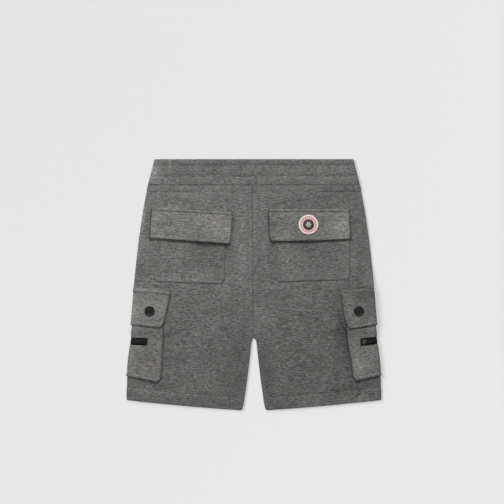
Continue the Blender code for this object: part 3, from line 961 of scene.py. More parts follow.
def distance(points: Array, line: Array) -> Array:
    """Measures how far points are from a line of straight runs.

    Args:
        points: The points.
        line: The line's corners.

    Returns:
        Each point's distance.
    """
    best = np.full(points.shape[:-1], np.inf)
    for start, end in zip(line[:-1], line[1:]):
        run = end - start
        size = float(run @ run)
        if size > 1e-9:
            share = np.clip(((points - start) @ run) / size, 0.0, 1.0)
            best = np.minimum(best, np.linalg.norm(points - start - share[..., None] * run, axis=-1))
    return best


def inset(line: Array, by: float) -> Array:
    """Draws a line beside another, with its corners kept.

    Args:
        line: The first line.
        by: How far to its right the new one runs.

    Returns:
        The new line.
    """
    runs = line[1:] - line[:-1]
    runs = runs / np.linalg.norm(runs, axis=1)[:, None]
    normals = np.stack((runs[:, 1], -runs[:, 0]), axis=1)
    moved = [line[0] + normals[0] * by]
    for before, after, corner in zip(normals[:-1], normals[1:], line[1:-1]):
        moved.append(corner + (before + after) * by / (1.0 + float(before @ after)))
    moved.append(line[-1] + normals[-1] * by)
    return np.array(moved)


def walk(line: Array, pitch: float, start: float = 0.0, end: float = 0.0) -> Array:
    """Steps along a line.

    Args:
        line: The line's corners.
        pitch: About how far apart the places are.
        start, end: How far from the line's ends the first and the last one are.

    Returns:
        The places.
    """
    steps = np.linalg.norm(np.diff(line, axis=0), axis=1)
    reached = np.concatenate(([0.0], np.cumsum(steps)))
    count = max(2, round((reached[-1] - start - end) / pitch) + 1)
    places = np.linspace(start, reached[-1] - end, count)
    return np.stack([np.interp(places, reached, line[:, k]) for k in range(line.shape[1])], axis=1)


def rings_of_faces(rings: int, sides: int, loop: bool = False) -> Faces:
    """Joins rings of points with quads.

    Args:
        rings, sides: How many rings there are, and how many points each has.
        loop: Whether the last ring is joined to the first.

    Returns:
        The faces, which turn from a ring towards the next one and then onwards along it.
    """
    faces: Faces = []
    for ring in range(rings if loop else rings - 1):
        low, high = ring * sides, (ring + 1) % rings * sides
        for here in range(sides):
            after = (here + 1) % sides
            faces.append((low + here, high + here, high + after, low + after))
    return faces


def make_mesh(name: str, points: Array, faces: Faces, material: Material,
              deep: float = 0.0, nap: Optional[Array] = None) -> Object:
    """Makes an object around its own middle, from points in millimetres.

    Args:
        name, material: The object's name and finish.
        points, faces: Its vertices, and its faces as vertex numbers.
        deep: How far below the piece its origin is, so that no two pieces share a grain.
        nap: The painted light and shade at each vertex, as how much paler or darker it is than the rest of
            the cloth.

    Returns:
        The object.
    """
    low, high = points.min(axis=0), points.max(axis=0)
    origin = (low + high) / 2 - np.array((0.0, 0.0, deep))
    data = bpy.data.meshes.new(name)
    data.from_pydata(((points - origin) * MM).tolist(), [], faces)
    data.polygons.foreach_set("use_smooth", [True] * len(data.polygons))
    data.materials.append(material)
    # Painted light and shade, stored per vertex for the cloth's colour.
    if nap is not None:
        data.attributes.new("nap", "FLOAT", "POINT").data.foreach_set("value", nap.astype(np.float32))
    data.update()
    made = bpy.data.objects.new(name, data)
    made.location = Vector(origin) * MM
    bpy.context.scene.collection.objects.link(made)
    return made


def closed_shell(outer: Array, inner: Array, kept: Array) -> tuple[Array, Faces, tuple[Array, Array]]:
    """Makes a closed shell from its two faces, which share the points around every edge.

    Args:
        outer, inner: The face that is seen and the one under it, as rows of points.
        kept: The cells of the grid that are cloth.

    Returns:
        The points, the faces, and each point's row and column in the grid.
    """
    rows, columns = outer.shape[:2]
    padded = np.zeros((rows + 1, columns + 1), bool)
    padded[1:-1, 1:-1] = kept
    around = np.stack((padded[:-1, :-1], padded[:-1, 1:], padded[1:, :-1], padded[1:, 1:]))
    used, edge = around.any(axis=0), ~around.all(axis=0)
    top = np.full((rows, columns), -1)
    top[used] = np.arange(used.sum())
    under = top.copy()
    deep = used & ~edge
    under[deep] = used.sum() + np.arange(deep.sum())
    points = np.concatenate((outer[used], inner[deep]))
    i, j = np.nonzero(kept)
    faces = []
    for layer, order in ((top, (0, 1, 2, 3)), (under, (3, 2, 1, 0))):
        corners = (layer[i, j], layer[i + 1, j], layer[i + 1, j + 1], layer[i, j + 1])
        faces += np.stack([corners[k] for k in order], axis=1).tolist()
    at = tuple(np.concatenate(pair) for pair in zip(np.nonzero(used), np.nonzero(deep)))
    return points, faces, at


@dataclass(frozen=True)
class Rim:
    """How one edge of a piece is finished.

    radius is how far in the cloth takes to round over, ring the share of its thickness at which the two
    faces meet, roll the height of the turned-in cloth, width how wide that is, up to its stitches, and
    groove how deep they sink. shade is painted shade on the rounded fold itself where it is negative and
    painted light where it is positive, and line is painted shade along the stitched row.
    """

    radius: float
    ring: float
    roll: float = 0.0
    width: float = 6.0
    groove: float = 0.0
    shade: float = 0.0
    line: float = 0.0


@dataclass
class ClothPiece:
    """A piece cut from cloth, laid in place over what is under it.

    Its knots run a row at a time from the top edge down, each row from the inner edge outwards, and rims
    are those of the top, the outer, the bottom and the inner edge. A place on it is a, its distance from
    the middle over the face and on round the side fold, and y, its place along the garment.
    """

    name: str
    side: Side
    face: Face
    knots: Array
    thickness: float
    rims: tuple[Rim, Rim, Rim, Rim]
    under: Union[Reach, Callable[["ClothPiece", Array, Array], Reach]]
    lay: Lay
    puff: Optional[Callable[["ClothPiece", Array, Array], Array]] = None
    turn: float = 2.6
    step: float = 1.6
    windows: tuple[tuple[int, int, int, int], ...] = ()
    window_rim: Rim = Rim(0.7, 0.3)
    thinnest: float = 0.05
    roll_ends: tuple[float, float] = (0.62, 1.06)
    row_width: float = 0.95
    mitre: float = 0.12
    edges: list[Array] = field(default_factory=list)
    holes: list[Array] = field(default_factory=list)

    def __post_init__(self) -> None:
        """Draws the edges' lines from the knots."""
        knots = self.knots
        self.edges = [knots[0], knots[:, -1], knots[-1], knots[:, 0]]
        for first, last, near, far in self.windows:
            corners = [*knots[first, near:far + 1], *knots[last, near:far + 1][::-1], knots[first, near]]
            self.holes.append(np.array(corners))

    def below_top(self) -> Array:
        """The line down the outer edge, along the bottom and up the inner edge."""
        return np.concatenate((self.edges[1], self.edges[2][::-1][1:], self.edges[3][::-1][1:]))

    def closeness(self, a: Array, y: Array) -> list[Array]:
        """The distance of each place from the top, outer, bottom and inner edge."""
        points = np.stack((a, y), axis=-1)
        return [distance(points, line) for line in self.edges]

    def turned_in(self, away: Sequence[Array]) -> tuple[Array, Array]:
        """Rolls the cloth that is turned in along the edges, and sinks the stitches that hold it.

        Args:
            away: The distance of each place from each edge.

        Returns:
            How high the roll and how deep the groove is.
        """
        sewn = [(far / rim.width, rim) for far, rim in zip(away, self.rims) if rim.roll or rim.groove]
        if not sewn:
            return np.zeros_like(away[0]), np.zeros_like(away[0])
        nearest = np.minimum.reduce([far for far, _ in sewn])
        shares = [np.exp(-(((far - nearest) / self.mitre) ** 2)) for far, _ in sewn]
        sizes = zip(*((rim.roll, rim.groove, rim.width) for _, rim in sewn))
        roll, groove, width = (sum(share * size for share, size in zip(shares, column)) / sum(shares)
                               for column in sizes)
        return (roll * (1.0 - soft_step(nearest, *self.roll_ends)),
                groove * bell(nearest * width, width, self.row_width))

    def surfaces(self, a: Array, y: Array) -> tuple[Array, Array]:
        """Rounds, rolls and swells the cloth.

        Args:
            a, y: Places on it.

        Returns:
            How far the outer and the inner face stand above what is under the piece.
        """
        away = self.closeness(a, y)
        nearness = [far / rim.radius for far, rim in zip(away, self.rims)]
        rings = [rim.ring for rim in self.rims]
        for hole in self.holes:
            nearness.append(distance(np.stack((a, y), axis=-1), hole) / self.window_rim.radius)
            rings.append(self.window_rim.ring)
        weights = [1.0 / (near + 0.02) ** 4 for near in nearness]
        ring = sum(weight * share for weight, share in zip(weights, rings)) / sum(weights)
        edge = np.clip(np.minimum.reduce(nearness), 0.0, 1.0)
        full = np.sqrt(1.0 - (1.0 - edge) ** 2)
        more, groove = self.turned_in(away)
        if self.puff:
            more = more + self.puff(self, a, y)
        outer = self.thickness * (ring + (1.0 - ring) * full) + full * (more - groove)
        hollow = np.maximum(more - 0.4, 0.0) * 0.5
        inner = self.thickness * ring * (1.0 - full) + full * hollow
        return outer, np.minimum(inner, outer - self.thinnest)

    def lie(self, a: Array, y: Array, height: Array) -> Array:
        """The points at a height above what is under the piece, in millimetres."""
        under = self.under if isinstance(self.under, Reach) else self.under(self, a, y)
        return self.lay.place(self.side, self.face, a, y, under.plus(height), self.turn)

    def points(self, a: Array, y: Array, above: float = 0.0) -> tuple[Array, Array]:
        """The points of the outer face, or so far above it, and of the inner face."""
        outer, inner = self.surfaces(a, y)
        return self.lie(a, y, outer + above), self.lie(a, y, inner)

    def build(self, material: Material, deep: float) -> Object:
        """Makes the piece's mesh.

        Args:
            material: The finish.
            deep: How far below the piece its origin is.

        Returns:
            The object.
        """
        rows, columns = self.knots.shape[:2]
        down = np.linalg.norm(np.diff(self.knots, axis=0), axis=2).max(axis=1)
        across = np.linalg.norm(np.diff(self.knots, axis=1), axis=2).max(axis=0)
        top, outer, bottom, inner = self.rims
        row_rounds = [(0, 0.0, top.radius), (rows - 1, bottom.radius, 0.0)]
        column_rounds = [(0, 0.0, inner.radius), (columns - 1, outer.radius, 0.0)]
        size = self.window_rim.radius
        for first, last, near, far in self.windows:
            row_rounds += [(first, size, 0.0), (last, 0.0, size)]
            column_rounds += [(near, size, 0.0), (far, 0.0, size)]
        seams = [rim.width if rim.groove or rim.line else 0.0 for rim in self.rims]
        v = stations(down, self.step, row_rounds, (seams[0], seams[2]))
        u = stations(across, self.step, column_rounds, (seams[3], seams[1]))
        grid = spread(self.knots, v, u)
        middle_v, middle_u = (v[:-1] + v[1:]) / 2, (u[:-1] + u[1:]) / 2
        kept = np.ones((len(middle_v), len(middle_u)), bool)
        for first, last, near, far in self.windows:
            rows_in = (middle_v > first) & (middle_v < last)
            kept &= ~(rows_in[:, None] & ((middle_u > near) & (middle_u < far))[None, :])
        front, behind = self.points(grid[..., 0], grid[..., 1])
        # Painted shade along the edges and stitched rows.
        shade = self.edge_shade(grid[..., 0], grid[..., 1])
        if self.side.value * self.face.value < 0.0:
            kept, front, behind, shade = (rows[:, ::-1] for rows in (kept, front, behind, shade))
        points, faces, at = closed_shell(front, behind, kept)
        # Painted light and shade: the lay's painted shading plus the painted shade along the edges.
        nap = self.lay.nap.at(self.face, points[:, 0], points[:, 1]) + shade[at]
        return make_mesh(self.name, points, faces, material, deep, nap)

    def edge_shade(self, a: Array, y: Array) -> Array:
        """Paints shade on the folds and along the stitched rows by the edges, and light on a fold whose
        shade is positive.

        Args:
            a, y: Places on it.

        Returns:
            How much paler or darker each place is.
        """
        uneven = 0.8 + 0.9 * ripple(a, y, 10.0, 60.0, Seed.EDGES)
        uneven = uneven + 0.7 * ripple(a, y, 37.0, 90.0, Seed.LONG_EDGES)
        shade = np.zeros_like(a)
        for away, rim in zip(self.closeness(a, y), self.rims):
            # Painted shade on each fold, and along each stitched row.
            shade += rim.shade * (1.0 - soft_step(away, 0.5 * rim.radius, 1.25 * rim.radius + 0.4))
            shade += rim.line * uneven * bell(away, rim.width, 1.1)
        return shade


def ride_on(made: Object, node: Optional[str] = None) -> Object:
    """Puts a piece on the shorts.

    Args:
        made: The piece.
        node: The frame's solid that it replaces, if it does.

    Returns:
        The piece.
    """
    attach(made, BODY)
    if node:
        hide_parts(node)
    return made


def sew_in(piece: ClothPiece, node: str, slot: Slot, finishes: Finishes, deep: float) -> Object:
    """Makes a piece of cloth in place of its solid in the frame.

    Args:
        piece, node: The cloth and the solid.
        slot, finishes: The piece's material slot, and the finishes that it has its own from.
        deep: How far below the piece its origin is.

    Returns:
        The object.
    """
    made = ride_on(piece.build(finishes.of(slot), deep), node)
    return made


@dataclass
class Threadwork:
    """Rows of short round bars on the cloth, such as stitches or a zip's teeth, gathered into one mesh.

    gap is left free at each end of a bar, arch is how high its middle rises and sunk how deep its ends
    lie. rings are the places and sizes of its cross-sections, as shares.
    """

    thickness: float = 0.42
    gap: float = 0.35
    arch: float = 0.12
    sunk: float = 0.10
    rings: tuple[tuple[float, float], ...] = ((0.0, 0.4), (0.1, 0.85), (0.5, 1.0), (0.9, 0.85), (1.0, 0.4))
    sides: int = 6
    points: list[Array] = field(default_factory=list)
    count: int = 0

    def bars(self, starts: Array, ends: Array, up: Array) -> None:
        """Adds a bar from each start to its end, arched a little away from the cloth.

        Args:
            starts, ends: Where the bars start and end.
            up: The direction away from the cloth at each.
        """
        along = ends - starts
        length = np.linalg.norm(along, axis=1)[:, None]
        along = along / np.maximum(length, 1e-6)
        up = up / np.linalg.norm(up, axis=1)[:, None]
        beside = np.cross(along, up)
        self.count += len(starts)
        starts, along, length, up, beside = (column[:, None, None]
                                             for column in (starts, along, length, up, beside))
        share, size = (np.array(column)[None, :, None, None] for column in zip(*self.rings))
        size = size * self.thickness / 2
        turn = (np.arange(self.sides) * math.pi / (self.sides / 2))[None, None, :, None]
        inner = self.gap + share * (length - 2 * self.gap)
        height = self.arch * np.sin(np.pi * share) - self.sunk
        ring = size * (np.cos(turn) * beside + np.sin(turn) * up)
        self.points.append((starts + along * inner + up * height + ring).reshape(-1, 3))

    def sew(self, piece: ClothPiece, line: Array, pitch: float = 3.1, start: float = 0.0,
            end: float = 0.0, sway: float = 0.0) -> None:
        """Sews a row of stitches.

        Args:
            piece: The cloth.
            line: The row's corners, flat on it.
            pitch: About how long a stitch is.
            start, end: How far from the line's ends the row starts and ends.
            sway: How far it wanders.
        """
        places = walk(line, pitch, start, end)
        places[:, 1] += sway * row_sway(places[:, 0])
        on, _ = piece.points(places[:, 0], places[:, 1])
        over, _ = piece.points(places[:, 0], places[:, 1], 1.0)
        up = over - on
        self.bars(on[:-1], on[1:], (up[:-1] + up[1:]) / 2)

    def build(self, name: str, finish: Material, slot: Slot) -> Object:
        """Makes the one mesh.

        Args:
            name, finish: Its name and material.
            slot: Not used.

        Returns:
            The object.
        """
        corners = len(self.rings) * self.sides
        bar = rings_of_faces(len(self.rings), self.sides)
        bar += [tuple(range(self.sides)), tuple(range(corners - 1, corners - 1 - self.sides, -1))]
        faces = [tuple(corner + first for corner in face)
                 for first in range(0, self.count * corners, corners) for face in bar]
        return ride_on(make_mesh(name, np.concatenate(self.points), faces, finish))


# ---- The garment's sub-assemblies ----


@dataclass
class Legs:
    """The four leg panels, their centre seam, inner legs and turned hems."""

    lay: Lay
    finishes: Finishes
    hem_depth: float = 18.8
    allowance: float = 9.6
    corners: tuple[float, float] = (1.8, 3.4)
    below_band: float = 0.15
    turn: float = 1.8
    short_of_fold: float = 0.06
    rows: int = 58
    columns: int = 11
    crotch_rows: tuple[float, ...] = (-2.0, -0.6, 0.5, 1.5, 2.6, 4.2, 7.5)
    seam_stitch: float = 5.2
    seam_ends: tuple[float, float] = (-88.0, -74.0)
    lap: float = 0.35
    lap_ends: tuple[float, float] = (3.6, 5.4)
    lap_groove: float = 0.3
    valley: float = 0.12
    deep: float = 40.0
    deeper: float = 17.0

    def knots(self, side: Side, corners: tuple[float, float]) -> Array:
        """Draws the flat shape of one panel.

        Args:
            side: The leg.
            corners: The radii of the hem's outer and inner corner.

        Returns:
            The knots, as rows from the waist down.
        """
        top = self.lay.band_seam_y - self.below_band
        run = top - self.lay.hem_inner_y
        crotch = [(top - self.lay.crotch_y + more) / run for more in self.crotch_rows]
        down = np.array(sorted({*np.linspace(0.0, 1.0, self.rows), *crotch}))[:, None]
        wide = self.lay.half_width.read(self.lay.hem_outer_y) - self.lay.gap.read(self.lay.hem_inner_y)
        turns = np.outer(corners, CORNER_ROUNDING) / wide
        even = np.linspace(1.0, 0.0, self.columns)
        share = np.array(sorted({*even, *turns[0], *(1.0 - turns[1])}))[None, ::-1]
        hem = self.lay.hem(share)
        for corner, away in zip(corners, (share * wide, (1.0 - share) * wide)):
            if corner:
                hem = hem + corner - np.sqrt(corner ** 2 - np.maximum(corner - away, 0.0) ** 2)
        y = top + down * (hem - top)
        outer = self.lay.fold_centre(y) + self.turn * (math.pi / 2 - self.short_of_fold)
        inner = self.lay.inner(side, y)
        return np.stack((outer - (outer - inner) * share, y), axis=-1)

    def seam_puff(self, piece: ClothPiece, a: Array, y: Array) -> Array:
        """Folds the centre seam's cloth to the left, under a row of stitches.

        Args:
            piece: The panel.
            a, y: Places on it.

        Returns:
            How high the seam stands at each place.
        """
        inner = piece.closeness(a, y)[3]
        above = soft_step(y, *self.seam_ends)
        if piece.side is Side.LEFT:
            groove = self.lap_groove * bell(inner, self.lap_ends[1], 0.7)
            return above * (self.lap * (1.0 - soft_step(inner, *self.lap_ends)) - groove)
        return -self.valley * above * bell(inner, 4.0, 1.4)

    def sew_rows(self, piece: ClothPiece, stitches: Threadwork) -> None:
        """Sews a panel's allowance at the band, its hem and, on the left, the centre seam.

        Args:
            piece: The panel.
            stitches: The leg's thread.
        """
        stitches.sew(piece, inset(piece.edges[0], self.allowance), start=1.0, end=4.0, sway=0.25)
        hem = self.knots(piece.side, (0.0, 0.0))[-1, ::-1]
        stitches.sew(piece, inset(hem, self.hem_depth), start=4.0, end=4.0)
        if piece.side is Side.LEFT:
            inner = piece.edges[3]
            seam = inner[inner[:, 1] > self.lay.crotch_y + 3.0][::-1]
            stitches.sew(piece, inset(seam, self.seam_stitch), start=2.0, end=9.0)

    def build(self) -> list[Object]:
        """Makes the panels and their stitches.

        Returns:
            The pieces.
        """
        made = []
        # Painted shade along the stitched row below the band.
        top = Rim(1.1, 0.1, 0.45, self.allowance, 0.4, line=-0.26)
        hem = Rim(1.5, 0.55, 0.55, self.hem_depth, 0.5)
        for side in Side:
            stitches = Threadwork()
            for face, step, under in ((Face.FRONT, 3.4, "waistband_front_cloth"),
                                      (Face.BACK, 2.2, f"{side.word}_front_panel_cloth")):
                node = f"{side.word}_{face.word}_panel"
                piece = ClothPiece(
                    name=f"{node}_cloth", side=side, face=face, knots=self.knots(side, self.corners),
                    thickness=1.6, rims=(top, Rim(0.7, 0.0), hem, Rim(1.7, 0.0)), under=PANEL_UNDER,
                    lay=self.lay, puff=self.seam_puff, turn=self.turn, step=step)
                deep = self.deep + self.deeper * len(made)
                made.append(sew_in(piece, node, Slot.SWEAT, self.finishes, deep))
                self.sew_rows(piece, stitches)
            made.append(stitches.build(f"{side.word}_leg_stitches", self.finishes.thread, Slot.SWEAT))
        return made


class BandPiece(ClothPiece):
    """Half of the waistband, whose places across run from side to side."""

    middle_z = 2.6

    def lie(self, a: Array, y: Array, height: Array) -> Array:
        """The points at a height above what is under the piece, in millimetres."""
        z = self.middle_z + self.face.value * (self.under.up + height)
        return np.stack((a, np.broadcast_to(y, z.shape), np.maximum(z, TABLE_GAP)), axis=-1)


@dataclass
class Waistband:
    """The elasticated band: two channels of elastic between rows of stitches, gathered a little.

    channel is how high the elastic swells between the rows, pucker the height of the gathers and rib
    that of the cloth's ribs. corner is the radius of the waist's corners.
    """

    lay: Lay
    finishes: Finishes
    rows: tuple[float, float] = (178.8, 162.3)
    sway: float = 0.7
    channel: float = 0.7
    pucker: float = 0.42
    rib: float = 0.10
    corner: float = 1.8
    lines: int = 9
    deep: float = 120.0
    deeper: float = 19.0

    def puff(self, piece: ClothPiece, a: Array, y: Array) -> Array:
        """Swells the elastic between the rows, and gathers the cloth across it.

        Args:
            piece: The half of the band.
            a, y: Places on it.

        Returns:
            How far the cloth stands out at each.
        """
        levels = (self.lay.waist_y, *self.rows, self.lay.band_seam_y)
        swell = np.zeros_like(np.asarray(a, float))
        for high, low in zip(levels[:-1], levels[1:]):
            share = np.clip((y - low) / (high - low), 0.0, 1.0)
            swell = np.maximum(swell, np.sin(np.pi * share) ** 0.6)
        gathers = ripple(a, y * 0.6, 4.6, 16.0, Seed.GATHERS)
        gathers = gathers + 0.6 * ripple(a, y, 9.0, 22.0, Seed.WIDE_GATHERS)
        ribs = self.rib * np.sin(y * 1.55 + 0.9 * ripple(a, y, 34.0, 30.0, Seed.RIBS))
        uneven = 0.6 + 0.35 * ripple(a, y, 13.0, 60.0, Seed.ROWS)
        cuts = sum(uneven * bell(y, row + self.sway * row_sway(a), 1.3) for row in self.rows)
        return self.channel * swell + self.pucker * gathers * (0.45 + 0.55 * swell) + ribs - cuts

    def knots(self) -> Array:
        """Draws the flat shape of one half.

        Returns:
            The knots, as rows from the waist down.
        """
        near = self.lay.waist_y - self.corner * np.array(CORNER_ROUNDING)
        even = np.linspace(self.lay.waist_y, self.lay.band_seam_y, self.lines)
        y = np.array(sorted({*even, *near}))[::-1, None]
        round_off = np.maximum(y - self.lay.waist_y + self.corner, 0.0)
        half = self.lay.half_width.read(y) - self.corner + np.sqrt(self.corner ** 2 - round_off ** 2)
        across = np.linspace(-1.0, 1.0, self.lines)[None, :]
        return np.stack((half * across, np.broadcast_to(y, (len(y), self.lines))), axis=-1)

    def build(self) -> list[Object]:
        """Makes both halves and their stitches.

        Returns:
            The pieces.
        """
        made = []
        stitches = Threadwork(thickness=0.46)
        side_rim = Rim(2.6, 0.0)
        for face, under in ((Face.FRONT, "left_front_panel_cloth"), (Face.BACK, "waistband_front_cloth")):
            node = f"waistband_{face.word}"
            piece = BandPiece(
                name=f"{node}_cloth", side=Side.RIGHT, face=face, knots=self.knots(), thickness=2.2,
                # Painted light on the band's bottom fold, paling the seam's shade.
                rims=(Rim(2.4, 0.0), side_rim, Rim(1.2, 0.35, shade=0.14), side_rim),
                under=PANEL_UNDER, lay=self.lay, puff=self.puff, step=1.5)
            deep = self.deep + self.deeper * len(made)
            made.append(sew_in(piece, node, Slot.SWEAT, self.finishes, deep))
            for row in self.rows:
                half = float(self.lay.half_width.read(row))
                stitches.sew(piece, np.array(((-half, row), (half, row))), 3.4, 2.4, 2.4, self.sway)
        made.append(stitches.build("waistband_stitches", self.finishes.thread, Slot.SWEAT))
        return made


Row = tuple[float, float, float, float]
Wrap = tuple[float, float, float]


@dataclass
class Pocket:
    """What both kinds of pocket share."""

    side: Side
    lay: Lay
    finishes: Finishes

    def cut(self, name: str, **shape: object) -> ClothPiece:
        """One piece for the back of this side's leg, named after the side, with its other fields."""
        return ClothPiece(f"{self.side.word}_{name}", self.side, Face.BACK, lay=self.lay, **shape)

    def sew(self, piece: ClothPiece, node: str, slot: Slot, deep: float, under: str) -> Object:
        """Sews in a piece for this side's node."""
        word = self.side.word
        return sew_in(piece, f"{word}_{node}", slot, self.finishes, deep)


@dataclass
class BackPocket(Pocket):
    """A patch pocket on the back of a leg, and the flap over it.

    Each row of a piece, from the top down, gives where it ends at the side and at the middle. hang is
    how far the flap's free part stands off the pocket, lean how much more its inner corner does, bow how
    far its bottom sags in the middle, and creases are the painted shade on its outer and
    inner edge.
    """

    pocket_rows: tuple[Row, ...]
    flap_rows: tuple[Row, ...]
    pocket_swells: tuple[Swell, ...]
    flap_swells: tuple[Swell, ...]
    stitch_in: float = 5.6
    edge_stitch: float = 1.9
    flap_seam: float = 4.6
    sewn_height: float = 2.1
    pocket_height: float = 1.7
    hang: float = 2.3
    lean: float = 1.0
    bow: float = 0.0
    creases: tuple[float, float] = (-0.5, -0.55)
    deep: tuple[float, float] = (200.0, 260.0)
    deeper: tuple[float, float] = (13.0, 17.0)

    def knots(self, rows: Sequence[Row], bow: float = 0.0) -> Array:
        """Draws a piece's flat shape.

        Args:
            rows: Its rows.
            bow: How far the last two sag in their middle.

        Returns:
            The knots, a row at a time from the inner edge outwards.
        """
        share = np.linspace(0.0, 1.0, 7)[:, None]
        knots = [np.array((row[2:],)) * (1 - share) + np.array((row[:2],)) * share for row in rows]
        for row in knots[-2:]:
            row[:, 1:] -= bow * 4.0 * share * (1.0 - share)
        return np.array(knots)

    def flap_under(self, piece: ClothPiece, a: Array, y: Array) -> Reach:
        """Lays the flap on the leg where it is sewn, up on the pocket, and free below.

        Args:
            piece: The flap.
            a, y: Places on it.

        Returns:
            What is under it.
        """
        top, outer, _, inner = piece.closeness(a, y)
        free = self.hang * soft_step(top, 12.0, 42.0) * (0.5 + 0.5 * soft_step(outer, 6.0, 80.0))
        corner = self.lean * soft_step(top, 20.0, 42.0) * (1.0 - soft_step(inner, 0.0, 30.0))
        on_pocket = self.pocket_height * soft_step(top, self.flap_seam, 12.0)
        up = self.sewn_height + on_pocket + free + corner
        return Reach(up, up, up)

    def flap(self) -> ClothPiece:
        """Cuts the flap, free along its sides and its bottom.

        Returns:
            The flap.
        """
        # Painted shade on the flap's side folds and along its top stitched row.
        outer_rim, inner_rim = (Rim(1.7, 0.5, 0.4, self.stitch_in, 0.32, crease)
                                for crease in self.creases)
        top_rim = Rim(1.2, 0.2, 0.9, self.flap_seam, 0.5, line=-0.08)
        return self.cut("back_flap_cloth", knots=self.knots(self.flap_rows, self.bow), thickness=1.8,
                        rims=(top_rim, outer_rim, Rim(1.8, 0.5, 0.5, self.stitch_in, 0.32), inner_rim),
                        under=self.flap_under, puff=swelling(self.flap_swells), step=1.3)

    def build(self) -> list[Object]:
        """Makes the pocket, the flap and their stitches.

        Returns:
            The pieces.
        """
        # Painted shade on the pocket's side folds and along its bottom stitched row.
        side_rim = Rim(1.1, 0.0, 0.25, self.stitch_in, 0.2, -0.06)
        pocket = self.cut("back_pocket_cloth", knots=self.knots(self.pocket_rows), thickness=1.1,
                          rims=(Rim(1.0, 0.4), side_rim, Rim(1.5, 0.0, 0.35, 6.4, 0.35, line=-0.06),
                                side_rim),
                          under=POCKET_UNDER, puff=swelling(self.pocket_swells), step=1.5)
        flap = self.flap()
        depths = [deep + self.side.value * more for deep, more in zip(self.deep, self.deeper)]
        made = [self.sew(pocket, "back_pocket", Slot.SWEAT, depths[0], "back_panel_cloth"),
                self.sew(flap, "back_flap", Slot.POCKET, depths[1], "back_pocket_cloth")]
        stitches = Threadwork()
        for far in (self.stitch_in, self.edge_stitch):
            stitches.sew(pocket, inset(pocket.below_top(), far), start=2.0, end=2.0)
        stitches.sew(flap, inset(flap.edges[0], self.flap_seam), start=1.4, end=1.4)
        stitches.sew(flap, inset(flap.below_top(), self.stitch_in), start=5.0, end=5.0)
        name = f"{self.side.word}_back_pocket_stitches"
        made.append(stitches.build(name, self.finishes.thread, Slot.SWEAT))
        return made


